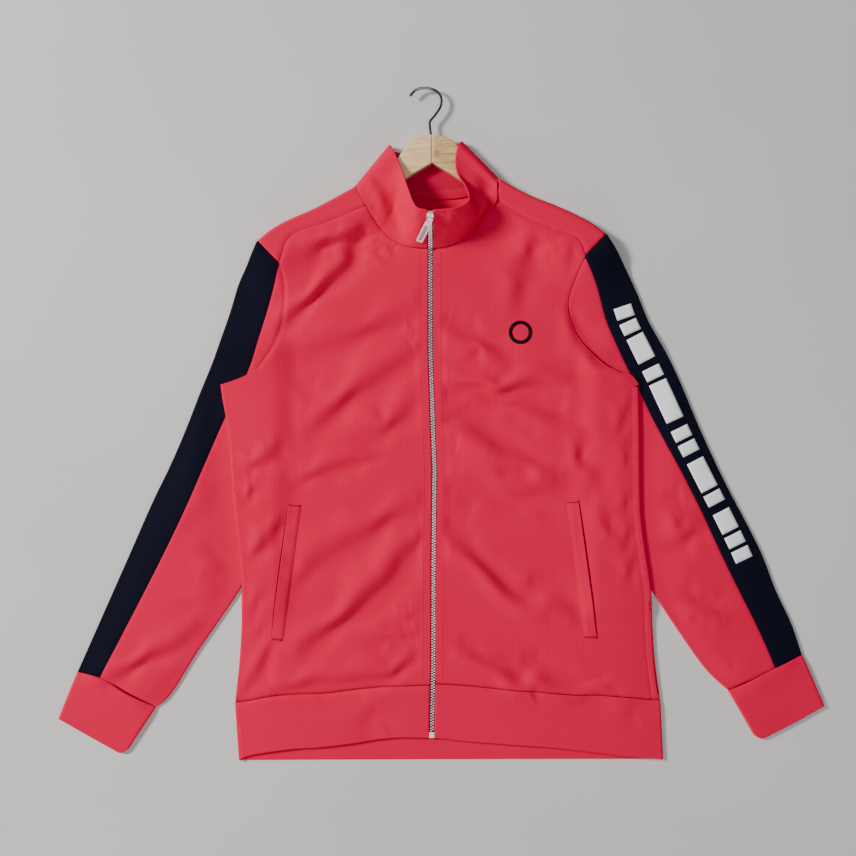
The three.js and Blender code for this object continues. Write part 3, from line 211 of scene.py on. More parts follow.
weltLeft = [(182, 323), (168, 322), (190, 151), (205, 151)]


# curves and sums
def smooth(low, high, value):
    t = np.clip((value - low) / (high - low), 0, 1)
    return t * t * (3 - 2 * t)


def lerp(a, b, t):
    return a + (b - a) * t


def curveThrough(rows, perSpan=24):  # a smooth curve through the rows, in any number of columns
    p = np.array(rows, float)
    if len(p) == 2:
        return lerp(p[0], p[1], np.linspace(0, 1, perSpan + 1)[:, None])
    p = np.vstack([2 * p[0] - p[1], p, 2 * p[-1] - p[-2]])
    t = np.linspace(0, 1, perSpan + 1)[:-1, None]
    made = []
    for k in range(1, len(p) - 2):
        d0, d1, d2 = [max(np.linalg.norm(p[k + i] - p[k + i - 1]), 1e-4) ** 0.5 for i in (0, 1, 2)]
        t1 = ((p[k] - p[k - 1]) / d0 - (p[k + 1] - p[k - 1]) / (d0 + d1) + (p[k + 1] - p[k]) / d1) * d1
        t2 = ((p[k + 1] - p[k]) / d1 - (p[k + 2] - p[k]) / (d1 + d2) + (p[k + 2] - p[k + 1]) / d2) * d1
        gap = p[k + 1] - p[k]
        made.append(p[k] + t1 * t + (3 * gap - 2 * t1 - t2) * t ** 2 + (t1 + t2 - 2 * gap) * t ** 3)
    return np.vstack([*made, p[-2:-1]])


def lengths(fine):  # how far along a line each of its points lies
    return np.concatenate([[0], np.cumsum(np.linalg.norm(np.diff(fine, axis=0), axis=1))])


def atShares(fine, shares, columns=2):
    far = lengths(fine[:, :columns])
    return np.stack([np.interp(np.asarray(shares) * far[-1], far, fine[:, c])
                     for c in range(fine.shape[1])], axis=1)


def along(rows, steps):
    return atShares(curveThrough(rows), np.linspace(0, 1, steps + 1))


def joined(*stretches):
    return np.vstack([stretches[0], *[s[1:] for s in stretches[1:]]])


def zipX(y):
    return np.interp(y, [r[1] for r in zipLine], [r[0] for r in zipLine])


def outwardOf(edge, side):  # side is 1 for left of its run and -1 for right
    run = np.gradient(edge[:, :2], axis=0)
    out = np.stack([-run[:, 1], run[:, 0]], axis=1) * side
    return out / np.maximum(np.linalg.norm(out, axis=1), 1e-9)[:, None]


def shifted(edge, side, distance):
    return edge[:, :2] + outwardOf(edge, side) * distance


def nearest(rows, x, y):  # distance to a line of points, side of it, share passed, reach past its ends
    fine = np.array(rows, float)
    best = np.full(x.shape, 1e9)
    side, share, beyond = np.zeros(x.shape), np.zeros(x.shape), np.zeros(x.shape)
    for i in range(len(fine) - 1):
        (ax, ay), (bx, by) = fine[i], fine[i + 1]
        dx, dy = bx - ax, by - ay
        length = math.hypot(dx, dy)
        raw = ((x - ax) * dx + (y - ay) * dy) / length ** 2
        t = np.clip(raw, 0, 1)
        distance = np.hypot(x - ax - dx * t, y - ay - dy * t)
        closer = distance < best
        best = np.where(closer, distance, best)
        side = np.where(closer, ((y - ay) * dx - (x - ax) * dy) / length, side)
        share = np.where(closer, (i + t) / (len(fine) - 1), share)
        before = -raw if i == 0 else 0
        after = raw - 1 if i == len(fine) - 2 else 0
        past = np.where(raw < 0, before, np.where(raw > 1, after, 0))
        beyond = np.where(closer, past * length, beyond)
    return best, side, share, beyond


def sumFolds(folds, x, y):  # each fold is a soft trough that turns into a ridge on its lit side
    total = np.zeros(x.shape)
    for k, (height, width, line) in enumerate(folds):
        fine = atShares(curveThrough(line), np.linspace(0, 1, 4 * len(line)))
        low, high = fine.min(0) - width * 4, fine.max(0) + width * 4
        near = (x > low[0]) & (x < high[0]) & (y > low[1]) & (y < high[1])
        if not near.any():
            continue
        distance, side, share, beyond = nearest(fine, x[near], y[near])
        (ax, ay), (bx, by) = fine[0], fine[-1]
        toLight = math.copysign(1, -(by - ay) * litSide[0] + (bx - ax) * litSide[1])
        swell = 1 + 0.28 * np.sin(share * 7.3 + k * 1.7) + 0.12 * np.sin(share * 17 + k)
        s = side * toLight / (width * swell)
        across = s * np.exp(0.5 - s * s / 2)
        ends = 0.25 + 0.75 * np.sin(np.pi * np.clip(share, 0.02, 0.98)) ** 0.6
        total[near] += height * across * ends * np.exp(-(beyond / width) ** 2)
    return total


# heights of the middle of each layer
def tuck(x, y):
    sides = 1 - smooth(-200, -168, x) + smooth(178, 208, x)
    return cloth["tuckLift"] * sides * smooth(165, 198, y) * (1 - smooth(502, 550, y))


def backHeight(x, y):
    return cloth["backMid"] + tuck(x, y)


def hangerBump(x, y):
    distance = nearest(armLine, np.abs(x), y)[0]
    over = hanger["floor"] + hanger["thick"] + 1.2 + cloth["thick"] / 2 - cloth["backMid"] - cloth["restGap"]
    return over * np.exp(-(np.maximum(0, distance - 12.5) / 26) ** 2)


def frontHeight(x, y):
    x, y = np.asarray(x, float), np.asarray(y, float)
    right = np.interp(y, [r[0] for r in limitRight], [r[1] for r in limitRight])
    left = np.interp(y, [r[0] for r in limitLeft], [r[1] for r in limitLeft])
    inward = np.minimum(x - right, left - x)
    rise = 1 - np.exp(-(np.maximum(0, inward) / cloth["edgeWidth"]) ** 2)
    gap = lerp(cloth["edgeGap"], cloth["restGap"], np.maximum(rise, smooth(600, 640, y)))
    collarPull = 2.5 * np.exp(-(x * x + (y - 640) ** 2) / 45 ** 2)
    fromZip = np.abs(x - zipX(y))
    loose = smooth(0, 22, inward) * smooth(cloth["placket"] - 5, cloth["placket"] + 9, fromZip)
    wanted = gap + hangerBump(x, y) + collarPull + sumFolds(bodyFolds, x, y) * loose
    spare = (wanted - cloth["leastGap"]) / 0.8
    return backHeight(x, y) + cloth["leastGap"] + 0.8 * np.logaddexp(0, spare)


def sleeveHeight(outer, inner, limit, side):
    outerLine, innerLine = curveThrough(outer, 4), curveThrough(inner, 4)

    def height(x, y):
        x, y = np.asarray(x, float), np.asarray(y, float)
        out, into = nearest(outerLine, x, y)[0], nearest(innerLine, x, y)[0]
        outside = side * (x - np.interp(np.minimum(y, 470), [r[0] for r in limit], [r[1] for r in limit]))
        free = np.maximum(smooth(12, 48, outside), 1 - smooth(120, 200, y))
        puff = (1 - np.exp(-(out / 16) ** 2)) * (1 - np.exp(-(into / 16) ** 2))
        own = cloth["backMid"] + cloth["sleeveGap"]
        own = own + (cloth["sleevePuff"] * puff + sumFolds(sleeveFolds, x, y) * puff) * free
        least = cloth["backMid"] + cloth["sleeveGap"] - 0.2
        return lerp(np.maximum(own, least), frontHeight(x, y), smooth(492, 540, y))
    return height


# patches of cloth
def crowded(steps, amount=0.1):  # shares from 0 to 1, closer together towards both ends
    t = np.linspace(0, 1, steps + 1)
    return t - amount * np.sin(2 * np.pi * t)


def patch(bottom, top, left, right, us=None):
    u = np.linspace(0, 1, len(bottom)) if us is None else us
    v = np.linspace(0, 1, len(left))
    u, v = u[None, :, None], v[:, None, None]
    corners = ((1 - u) * (1 - v) * bottom[0] + u * (1 - v) * bottom[-1] + (1 - u) * v * top[0]
               + u * v * top[-1])
    return (1 - v) * bottom[None] + v * top[None] + (1 - u) * left[:, None] + u * right[:, None] - corners


def ruled(start, end, shares):
    return start[:, None] + (end - start)[:, None] * np.asarray(shares)[None, :, None]


def lay(grid, height):
    return np.concatenate([grid[..., :2], height(grid[..., 0], grid[..., 1])[..., None]], axis=2)


def drawBack(grid, atEnd, distance):  # draws the last or the first row back, to leave a seam open
    grid = grid.copy()
    edge, inside = (-1, -2) if atEnd else (0, 1)
    way = grid[inside] - grid[edge]
    grid[edge] += way * (distance / np.maximum(np.linalg.norm(way, axis=1), 1e-6))[:, None]
    return grid


def openSeams(grid, edges="bottom top left right", distance=None):
    distance = cloth["seamOpen"] if distance is None else distance
    for edge in edges.split():
        if edge in ("left", "right"):
            grid = drawBack(grid.transpose(1, 0, 2), edge == "right", distance).transpose(1, 0, 2)
        else:
            grid = drawBack(grid, edge == "top", distance)
    return grid


def sinkSeams(grid, edges, kind="plain"):  # the cloth is drawn down where it is sewn
    dip, reach = seamDips[kind]
    grid = grid.copy()
    low = np.zeros(grid.shape[:2])
    for edge in edges.split():
        line = {"bottom": grid[0], "top": grid[-1], "left": grid[:, 0], "right": grid[:, -1]}[edge]
        line = line[None] if edge in ("bottom", "top") else line[:, None]
        far = np.linalg.norm(grid[..., :2] - line[..., :2], axis=2)
        low = np.maximum(low, dip * np.exp(-(far / reach) ** 2))
    grid[..., 2] -= low
    return grid


def roll(edge, outward, reach, low, steps=8):  # round a folded edge, from the upper layer to the lower
    angle = np.pi / 2 - np.pi * np.linspace(0, 1, steps + 1)
    middle, half = (edge[:, 2] + low) / 2, (edge[:, 2] - low) / 2
    flat = edge[:, None, :2] + outward[:, None] * (reach * np.cos(angle))[None, :, None]
    height = middle[:, None] + half[:, None] * np.sin(angle)[None]
    return np.concatenate([flat, height[..., None]], axis=2)


def mirrored(grid):
    return grid[:, ::-1]


# meshes
def newObject(name, points, faces, material, body="jacket", flow=None):
    mesh = bpy.data.meshes.new(name)
    mesh.from_pydata(((points + toRow) / 1000).tolist(), [], faces)
    mesh.materials.append(material)
    mesh.polygons.foreach_set("use_smooth", [True] * len(mesh.polygons))
    if flow is not None:  # the cloth's own plan in metres, for the knit to follow
        layer = mesh.uv_layers.new(name="clothPlan")
        loopPoints = np.empty(len(mesh.loops), int)
        mesh.loops.foreach_get("vertex_index", loopPoints)
        layer.data.foreach_set("uv", (flow[loopPoints] / 1000).ravel())
    mesh.update()
    made = bpy.data.objects.new(name, mesh)
    bpy.context.scene.collection.objects.link(made)
    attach(made, body)
    return made


def unit(vectors):
    return vectors / np.maximum(np.linalg.norm(vectors, axis=-1, keepdims=True), 1e-9)


def clothWall(name, patches, thick=None, material=None, flows=None):  # a closed wall
    thick = thick or cloth["thick"]
    loose = np.vstack([g.reshape(-1, 3) for g in patches])
    plan = np.vstack([(g[..., :2] if f is None else f).reshape(-1, 2)
                      for g, f in zip(patches, flows or [None] * len(patches))])
    first, back = np.unique(np.round(loose, 2), axis=0, return_index=True, return_inverse=True)[1:]
    points, flow, back = loose[first], plan[first], back.ravel()
    quads, start = [], 0
    for g in patches:
        ids = back[start:start + g.shape[0] * g.shape[1]].reshape(g.shape[:2])
        start += ids.size
        around = [ids[:-1, :-1], ids[:-1, 1:], ids[1:, 1:], ids[1:, :-1]]
        quads.append(np.stack(around, axis=2).reshape(-1, 4))
    quads = np.vstack(quads)
    a, b, c, d = [points[quads[:, i]] for i in range(4)]
    face = np.cross(c - a, d - b)
    area = np.linalg.norm(face, axis=1).sum() / 2e6
    normals = np.zeros_like(points)
    for i in range(4):
        np.add.at(normals, quads[:, i], face)
    normals = unit(normals)
    size = len(points)
    edges = np.vstack([quads[:, [i, (i + 1) % 4]] for i in range(4)])
    edges = edges[edges[:, 0] != edges[:, 1]]
    rim = edges[~np.isin(edges[:, 0] * size + edges[:, 1], edges[:, 1] * size + edges[:, 0])]
    out = np.zeros_like(points)
    side = np.cross(points[rim[:, 1]] - points[rim[:, 0]], normals[rim[:, 0]])
    np.add.at(out, rim[:, 0], side)
    np.add.at(out, rim[:, 1], side)
    rimPoints = np.unique(rim)
    rimIndex = np.full(size, -1)
    rimIndex[rimPoints] = 2 * size + np.arange(len(rimPoints))
    rounded = points[rimPoints] + unit(out[rimPoints]) * thick * 0.3  # the rim bulges by this share of the wall
    whole = np.vstack([points + normals * thick / 2, points - normals * thick / 2, rounded])
    a, b = rim.T
    faces = np.vstack([quads, quads[:, ::-1] + size, np.stack([b, a, rimIndex[a], rimIndex[b]], axis=1),
                       np.stack([rimIndex[b], rimIndex[a], a + size, b + size], axis=1)]).tolist()
    kept = [q for q in (list(dict.fromkeys(f)) for f in faces) if len(q) > 2]
    made = newObject(name, whole, kept, material or redKnit,
                     flow=np.vstack([flow, flow, flow[rimPoints]]))
    print(f"{name}: {len(kept)} faces, {area:.4f} square metres of cloth")
    return made


def turnedPlan(grid, degrees):  # the cut's own directions, where its length doesn't run up the body
    angle = math.radians(degrees)
    x, y = grid[..., 0], grid[..., 1]
    cos, sin = math.cos(angle), math.sin(angle)
    return np.stack([x * cos + y * sin, y * cos - x * sin], axis=2)


# materials
def fromHex(code):
    channels = [int(code[i:i + 2], 16) / 255 for i in (1, 3, 5)]
    return (*[c / 12.92 if c <= 0.04045 else ((c + 0.055) / 1.055) ** 2.4 for c in channels], 1)


def addNode(tree, kind, settings=None, links=None, into=None):  # a link from a node is from its first output
    node = tree.nodes.new("ShaderNode" + kind)
    for key, value in (settings or {}).items():
        if key == "stops":  # a colour ramp's places and colours
            while len(node.color_ramp.elements) < len(value):
                node.color_ramp.elements.new(0.5)
            for element, (place, code) in zip(node.color_ramp.elements, value):
                element.position, element.color = place, fromHex(code)
        elif isinstance(key, int) or key in node.inputs:
            node.inputs[key].default_value = value
        else:
            setattr(node, key, value)
    for key, source in (links or {}).items():
        tree.links.new(source.outputs[0] if hasattr(source, "outputs") else source, node.inputs[key])
    if into:
        tree.links.new(node.outputs[0], into)
    return node


def newMaterial(name, settings):  # gives its tree, the inputs of its surface and the object's own places
    material = bpy.data.materials.new(name)
    material.use_nodes = True
    tree = material.node_tree
    tree.nodes.clear()
    surface = addNode(tree, "BsdfPrincipled", settings)
    addNode(tree, "OutputMaterial", links={"Surface": surface})
    return material, tree, surface.inputs, addNode(tree, "TexCoord").outputs["Object"]


# Polyester double knit: soft and matte, with fine upright wales that only show close to, and a slight
# unevenness of dye and pile
def doubleKnit(name, deep, light, wale=1.5, relief=0.22):
    material, tree, surface, place = newMaterial(name, {"Specular IOR Level": 0.06})
    plan = addNode(tree, "UVMap", {"uv_map": "clothPlan"})
    cloud = addNode(tree, "TexNoise", {"Scale": 11.0, "Detail": 3.0, "Roughness": 0.55}, {"Vector": place})
    pile = addNode(tree, "TexNoise", {"Scale": 900.0, "Detail": 2.0}, {"Vector": place})
    mixed = addNode(tree, "Math", {"operation": "MULTIPLY_ADD", 1: 0.35, 2: 0.32}, {0: pile})
    level = addNode(tree, "Math", {"operation": "MULTIPLY_ADD", 1: 0.35}, {0: cloud, 2: mixed})
    addNode(tree, "ValToRGB", {"stops": [(0.42, deep), (0.78, light)]}, {"Fac": level}, surface["Base Color"])
    # wales every 1.5 mm: the real ones are half that, drawn wider so that they show at all
    bands = math.pi / 10 * 1000 / wale
    waves, rows = [
        addNode(tree, "TexWave", {"wave_type": "BANDS", "bands_direction": way, "wave_profile": "SIN",
                                  "Scale": bands * finer, "Distortion": wander, "Detail": 1.0},
                {"Vector": plan}).outputs["Fac"] for way, finer, wander in (("X", 1, 0.4), ("Y", 1.3, 0.6))]
    knit = addNode(tree, "Math", {"operation": "MULTIPLY_ADD", 1: 0.4}, {0: rows, 2: waves})
    addNode(tree, "Bump", {"Strength": relief, "Distance": 0.0003}, {"Height": knit}, surface["Normal"])
    addNode(tree, "MapRange", {"To Min": 0.62, "To Max": 0.78}, {"Value": cloud}, surface["Roughness"])
    return material


# Plated brass and steel of the zip and the hook: bright, with fine scuffs that break up the shine
def plated(name, base, rough, scuff):
    material, tree, surface, place = newMaterial(name, {"Metallic": 1})
    marks = addNode(tree, "TexNoise", {"Scale": 1400.0, "Detail": 4.0}, {"Vector": place})
    addNode(tree, "ValToRGB", {"stops": [(0.35, scuff), (0.6, base)]}, {"Fac": marks}, surface["Base Color"])
    addNode(tree, "MapRange", {"To Min": rough * 0.7, "To Max": rough * 1.5}, {"Value": marks},
            surface["Roughness"])
    addNode(tree, "Bump", {"Strength": 0.15, "Distance": 0.0001}, {"Height": marks}, surface["Normal"])
    return material


# Beech, planed and clear lacquered: pale warm ground, grain along the arm with short dark flecks,
# and a knot where the board had one
def lacqueredWood(name, pale, warm, dark, lean, knot=None, figure=0.6):
    material, tree, surface, place = newMaterial(name, {"Roughness": 0.42, "Coat Weight": 0.3,
                                                       "Coat Roughness": 0.25})
    turned = addNode(tree, "Mapping", {"Rotation": (0, 0, math.radians(lean)), "Scale": (9, 90, 40)},
                     {"Vector": place})
    grain = addNode(tree, "TexNoise", {"Scale": 3.2, "Detail": 6.0, "Roughness": 0.62, "Distortion": figure},
                    {"Vector": turned})
    fleck = addNode(tree, "TexNoise", {"Scale": 22.0, "Detail": 2.0}, {"Vector": turned})
    ground = addNode(tree, "ValToRGB", {"stops": [(0.3, dark), (0.48, warm), (0.62, pale)]}, {"Fac": grain})
    shade = addNode(tree, "ValToRGB", {"stops": [(0.36, "#c9a983"), (0.46, "#ffffff")]}, {"Fac": fleck})
    colour = addNode(tree, "Mix", {"data_type": "RGBA", "blend_type": "MULTIPLY", 0: 0.35},
                     {6: ground, 7: shade}).outputs[2]
    if knot:
        spot = addNode(tree, "Mapping", {"vector_type": "POINT", "Location": tuple(-k for k in knot)},
                       {"Vector": place})
        far = addNode(tree, "VectorMath", {"operation": "LENGTH"}, {0: spot}).outputs["Value"]
        within = addNode(tree, "MapRange",
                         {"From Min": 0.002, "From Max": 0.007, "To Min": 0.75, "To Max": 0.0}, {"Value": far})
        colour = addNode(tree, "Mix", {"data_type": "RGBA", 7: fromHex(dark)},
                         {0: within, 6: colour}).outputs[2]
    tree.links.new(colour, surface["Base Color"])
    addNode(tree, "Bump", {"Strength": 0.08, "Distance": 0.0002}, {"Height": grain}, surface["Normal"])
    return material


redKnit = doubleKnit("redDoubleKnit", "#d8013e", "#e40346")
redBand = doubleKnit("redBandKnit", "#d8013e", "#e40346", wale=1.8, relief=0.14)
# darker red: painted shade, for the collar's side towards the neck
innerShadeKnit = doubleKnit("redInnerShadedKnit", "#b80238", "#c4043e")
tapeKnit = doubleKnit("redNeckTape", "#c4043a", "#d00840", wale=1.0)
darkKnit = doubleKnit("darkDoubleKnit", "#090917", "#0e0e22")
redThread = doubleKnit("redThread", "#9c0428", "#ac0832", wale=0.4)
# very dark red: painted shade, laid in the pocket mouths and under the hem seam; the bar tacks use it too
shadeAndTackKnit = doubleKnit("pocketMouthKnit", "#5c0412", "#6e061a")
redTape = doubleKnit("redZipTape", "#54182c", "#661e36", wale=1.2)
nickel = plated("nickelPlate", "#fffafa", 0.34, "#efe4e2")
brightNickel = plated("satinNickel", "#fbfbfb", 0.42, "#e2e0de")
darkNickel = plated("darkEnamelInset", "#b2b2b8", 0.42, "#909096")
hookPlate = plated("darkChromeWire", "#77787c", 0.14, "#4c4d51")
# heat-pressed film takes a faint print of the knit under it
whiteFilm = doubleKnit("whiteTransferFilm", "#f6f9fd", "#fdfeff", wale=3.0, relief=0.05)
darkFilm = doubleKnit("darkTransferFilm", "#0b0a0e", "#131218", wale=3.0, relief=0.05)
beechPale = lacqueredWood("beechPale", "#ffe2b2", "#fcd49e", "#e8c08a", -32, figure=0.3)
beechFigured = lacqueredWood("beechFigured", "#eecb98", "#deb27a", "#b88850", 28,
                             knot=(-0.006, 0.334, 0.0144), figure=1.6)
print("materials made")


# fronts: rows run from the side fold, the armhole and the shoulder seam in to the zip
detail = {"side": 92, "armTip": 14, "armUpper": 34, "shoulder": 34, "columns": 116}
armSteps = detail["armTip"] + detail["armUpper"]


def armholeCurve(armhole, turn):
    return along(armhole[:turn + 1], detail["armTip"]), along(armhole[turn:], detail["armUpper"])


def frontPlan(side, armhole, turn, shoulderSeam, neck, hemSeam, sideInset, outSign):
    seam = cloth["seamOpen"]
    sideEdge = shifted(along(side, detail["side"]), outSign, -sideInset)
    armEdge = shifted(joined(*armholeCurve(armhole, turn)), outSign, -seam)
    armEdge[0] = sideEdge[-1]
    shoulderEdge = shifted(along(shoulderSeam, detail["shoulder"]), outSign, -seam)
    shoulderEdge[0] = armEdge[-1]
    outer = joined(sideEdge, armEdge, shoulderEdge)
    us = crowded(detail["columns"])
    top = shifted(atShares(curveThrough(neck), us), outSign, -seam)
    bottom = shifted(atShares(curveThrough(hemSeam), us), -outSign, -seam)
    marks = [0, detail["side"], detail["side"] + armSteps, len(outer) - 1]
    share = np.interp(np.arange(len(outer)), marks, [0, 0.58, 0.85, 1])
    y = lerp(bottom[-1, 1], top[-1, 1], share)
    zipEdge = np.stack([zipX(y) - outSign * zipGap, y], axis=1)
    bottom[0], bottom[-1], top[0], top[-1] = outer[0], zipEdge[0], outer[-1], zipEdge[-1]
    return patch(bottom, top, outer, zipEdge, us)


neckRight = [r[:2] for r in collarRight[:8]][::-1]
neckLeft = [r[:2] for r in collarLeft[2:]]
frontRightGrid = lay(frontPlan(sideRight, armholeRight, 2, shoulderSeamRight, neckRight, hemSeamRight,
                               cloth["sideRoll"], 1), frontHeight)
frontLeftGrid = lay(frontPlan(sideLeft, armholeLeft, 3, shoulderSeamLeft, neckLeft, hemSeamLeft,
                              cloth["sideRoll"] + cloth["sideSeamInset"] + 0.3, -1), frontHeight)


def sinkFront(grid, foldRows):  # where the side is a fold it keeps its height, and the rest is sewn
    grid = sinkSeams(sinkSeams(grid, "top"), "bottom", "hem")
    start = detail["side"] + detail["armTip"] if foldRows else 0
    upper = sinkSeams(grid[start:], "left", "plain" if foldRows else "armhole")
    return np.concatenate([grid[:start], upper], axis=0)


frontRightSewn = sinkFront(frontRightGrid, True)
foldEdge = frontRightSewn[:detail["side"] + 1, 0]
turnedSide = roll(foldEdge, outwardOf(foldEdge, 1), cloth["sideRoll"],
                  backHeight(foldEdge[:, 0], foldEdge[:, 1]))
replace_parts(clothWall("frontRight", [frontRightSewn, mirrored(turnedSide)]), "front_right")
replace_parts(clothWall("frontLeft", [mirrored(sinkFront(frontLeftGrid, False))]), "front_left")
print("fronts made")


# back: rows from the hem seam up to the shoulder folds and the back neck, then over the shoulders
def backWrinkles(x, y):  # the underside of the back lifts a little off the floor between these
    lines = [
        (1.5, 14, [(-150, 180), (-60, 230), (40, 240)]), (1.3, 12, [(40, 330), (120, 300), (190, 310)]),
        (1.6, 15, [(-170, 420), (-80, 470), (0, 480)]), (1.2, 11, [(60, 520), (120, 560), (150, 600)]),
        (1.4, 13, [(-140, 560), (-90, 610), (-30, 650)]), (1.2, 10, [(150, 130), (200, 180), (215, 240)]),
    ]
    return np.maximum(0, sumFolds(lines, x, y))


def backBody():
    seam = cloth["seamOpen"]
    steps, yokeSteps, neckSteps = {"side": 60, "arm": 24}, 34, 40
    armLap = 3  # how far the back stops short of the armhole, under the sleeve
    rightSide = shifted(along(sideRight, steps["side"]), 1, -cloth["sideRoll"] - 0.3)
    leftSide = shifted(along(sideLeft, detail["side"]), -1, -cloth["sideRoll"])
    leftSide = atShares(leftSide, np.linspace(0, 1, steps["side"] + 1))
    rightArm = shifted(along(armholeRight, steps["arm"]), 1, -armLap)
    leftArm = shifted(along(armholeLeft, steps["arm"]), -1, -armLap)

    def shoulder(fold, seamRows, outSign):  # columns from the fold to the forward seam
        foldEdge = along(fold, yokeSteps)[::-1]
        seamEdge = shifted(along(seamRows, yokeSteps), outSign, seam)
        outward = unit(foldEdge - seamEdge)
        clear = np.array([outward[0, 1], -outward[0, 0]]) * outSign
        foldEdge[0] += clear * 0.9
        upper = foldEdge - outward * cloth["shoulderRoll"]
        top = np.column_stack([upper, frontHeight(upper[:, 0], upper[:, 1])])
        over = roll(top, outward, cloth["shoulderRoll"], np.full(len(top), cloth["backMid"]))
        onto = sinkSeams(lay(ruled(upper, seamEdge, np.linspace(0, 1, 16)), frontHeight), "right")
        return np.concatenate([over[:, ::-1], onto[:, 1:]], axis=1)

    rightYoke = shoulder(shoulderFoldRight, shoulderSeamRight, 1)
    leftYoke = shoulder(shoulderFoldLeft, shoulderSeamLeft, -1)
    rightFold, leftFold = rightYoke[:, 0, :2], leftYoke[::-1, 0, :2]
    neck = along(collarBack, neckSteps)[:, :2] - [0, seam]
    neck[0], neck[-1] = rightFold[-1], leftFold[0]
    top = joined(rightFold, neck, leftFold)
    rightArm[-1] = rightYoke[0, -1, :2] + [armLap, 0]
    leftArm[-1] = leftYoke[0, -1, :2] - [armLap, 0]
    right = np.vstack([joined(rightSide, rightArm), top[:1]])
    left = np.vstack([joined(leftSide, leftArm), top[-1:]])
    hem = along(backHem, len(top) - 1)
    hem[0], hem[-1] = right[0], left[0]
    laid = lay(patch(hem, top, right, left), backHeight)
    x, y = laid[..., 0], laid[..., 1]
    inside = smooth(0, 40, np.minimum(np.minimum(x + 235, 245 - x), y - 72))
    laid[1:-1, 1:-1, 2] += (backWrinkles(x, y) * inside)[1:-1, 1:-1]

    lowSide = laid[:steps["side"] + 1, -1]
    upperSide = np.column_stack([lowSide[:, :2], frontHeight(lowSide[:, 0], lowSide[:, 1])])
    outward = outwardOf(upperSide, -1)
    around = roll(upperSide, outward, cloth["sideRoll"], lowSide[:, 2])
    around[:, -1] = lowSide
    seamLine = lowSide[:, :2] - outward * cloth["sideSeamInset"]
    onto = lay(ruled(seamLine, lowSide[:, :2], np.linspace(0, 1, 6)), frontHeight)
    onto = sinkSeams(onto, "left", "sideStrip")
    ontoFront = np.concatenate([onto[:, :-1], around], axis=1)
    return clothWall("backBody", [mirrored(laid), rightYoke, mirrored(leftYoke), ontoFront])


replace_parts(backBody(), "back_body")
print("back made")


# sleeves
def cutAt(rows, y, above, below):
    fine = along(rows, 1200)
    k = int(np.argmax(fine[:, 1] < y))
    return joined(atShares(fine[:k + 1], np.linspace(0, 1, above + 1)),
                  atShares(fine[k:], np.linspace(0, 1, below + 1)))


def sleeve(side, outer, seam, inner, armhole, turn, limit, outSign, lean):  # and gives back its height
    below, endGap, name = 96, 0.2, side.lower()
    height = sleeveHeight(outer, inner, limit, outSign)
    outerEdge = cutAt(outer, armhole[turn][1], detail["armUpper"], below)
    outerEdge = shifted(outerEdge, outSign, -cloth["sleeveRoll"])
    seamEdge = cutAt(seam, armhole[turn][1], detail["armUpper"], below)
    armEdge = shifted(armholeCurve(armhole, turn)[1][::-1], -outSign, -cloth["seamOpen"])
    innerFold = shifted(along(inner, below), -outSign, -cloth["sleeveRoll"])
    innerEdge = np.vstack([armEdge[:-1], innerFold])
    floor = np.full(len(outerEdge), cloth["backMid"])

    def upperLayer(start, end, shares):
        return lay(openSeams(ruled(start, end, shares), "bottom top", endGap), height)

    def turnUnder(foldRows, way):
        return roll(foldRows, outwardOf(foldRows, way), cloth["sleeveRoll"], floor[:len(foldRows)])

    top = upperLayer(shifted(seamEdge, outSign, cloth["seamOpen"]), outerEdge, crowded(22, 0.06))
    turned = turnUnder(top[:, -1], outSign)
    top = sinkSeams(sinkSeams(top, "left", "stripe"), "bottom top", "sleeveEnd")
    turned[:, 0] = top[:, -1]
    under = ruled(turned[:, -1], np.column_stack([top[:, 0, :2], floor]), np.linspace(0, 1, 5))
    stripe = np.concatenate([top, turned[:, 1:], under[:, 1:]], axis=1)
    made = clothWall(f"sleeveStripe{side}", [stripe], None, darkKnit, [turnedPlan(stripe, lean)])
    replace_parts(made, f"sleeve_stripe_{name}")

    top = upperLayer(shifted(seamEdge, outSign, -cloth["seamOpen"]), innerEdge, crowded(44, 0.08))
    turned = turnUnder(top[detail["armUpper"]:, -1], -outSign)
    sewn = sinkSeams(sinkSeams(top, "left", "stripe"), "bottom top", "sleeveEnd")
    sewn[:detail["armUpper"]] = sinkSeams(sewn[:detail["armUpper"]], "right")
    turned[:, 0] = sewn[detail["armUpper"]:, -1]
    flows = [turnedPlan(sewn, lean), turnedPlan(turned, lean)]
    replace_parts(clothWall(f"sleeveFront{side}", [sewn, turned], flows=flows), f"sleeve_front_{name}")

    edge, start = top[:, -1, :2], top[:, 0, :2]
    clear = edge + unit(start - edge) * 0.3
    under = ruled(np.column_stack([start, floor]), np.column_stack([clear, floor]), np.linspace(0, 1, 8))[::2]
    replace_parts(clothWall(f"sleeveBack{side}", [under], flows=[turnedPlan(under, lean)]), f"sleeve_back_{name}")
    return height


heightRight = sleeve("Right", outerRight, stripeSeamRight, innerRight, armholeRight, 2, limitRight, -1, -25)
heightLeft = sleeve("Left", outerLeft, stripeSeamLeft, innerLeft, armholeLeft, 3, limitLeft, 1, 25)


# closes the step from the body down to the sleeve
def armholeAllowance(side, armhole, turn, outSign, height):
    shape = {"half": 0.5, "underBody": 1.2, "underSleeve": 0.9, "thick": 0.6}
    line = atShares(armholeCurve(armhole, turn)[1], np.linspace(0, 0.995, 90))
    body, arm = shifted(line, -outSign, shape["half"]), shifted(line, outSign, shape["half"])
    upper = np.column_stack([body, frontHeight(body[:, 0], body[:, 1]) - shape["underBody"]])
    lowest = np.minimum(height(arm[:, 0], arm[:, 1]) - shape["underSleeve"], upper[:, 2])
    grid = ruled(upper, np.column_stack([arm, lowest]), np.linspace(0, 1, 4))
    clothWall(f"armholeAllowance{side}", [grid if outSign < 0 else mirrored(grid)], shape["thick"], redThread)


armholeAllowance("Right", armholeRight, 2, -1, heightRight)
armholeAllowance("Left", armholeLeft, 3, 1, heightLeft)
print("sleeves made")


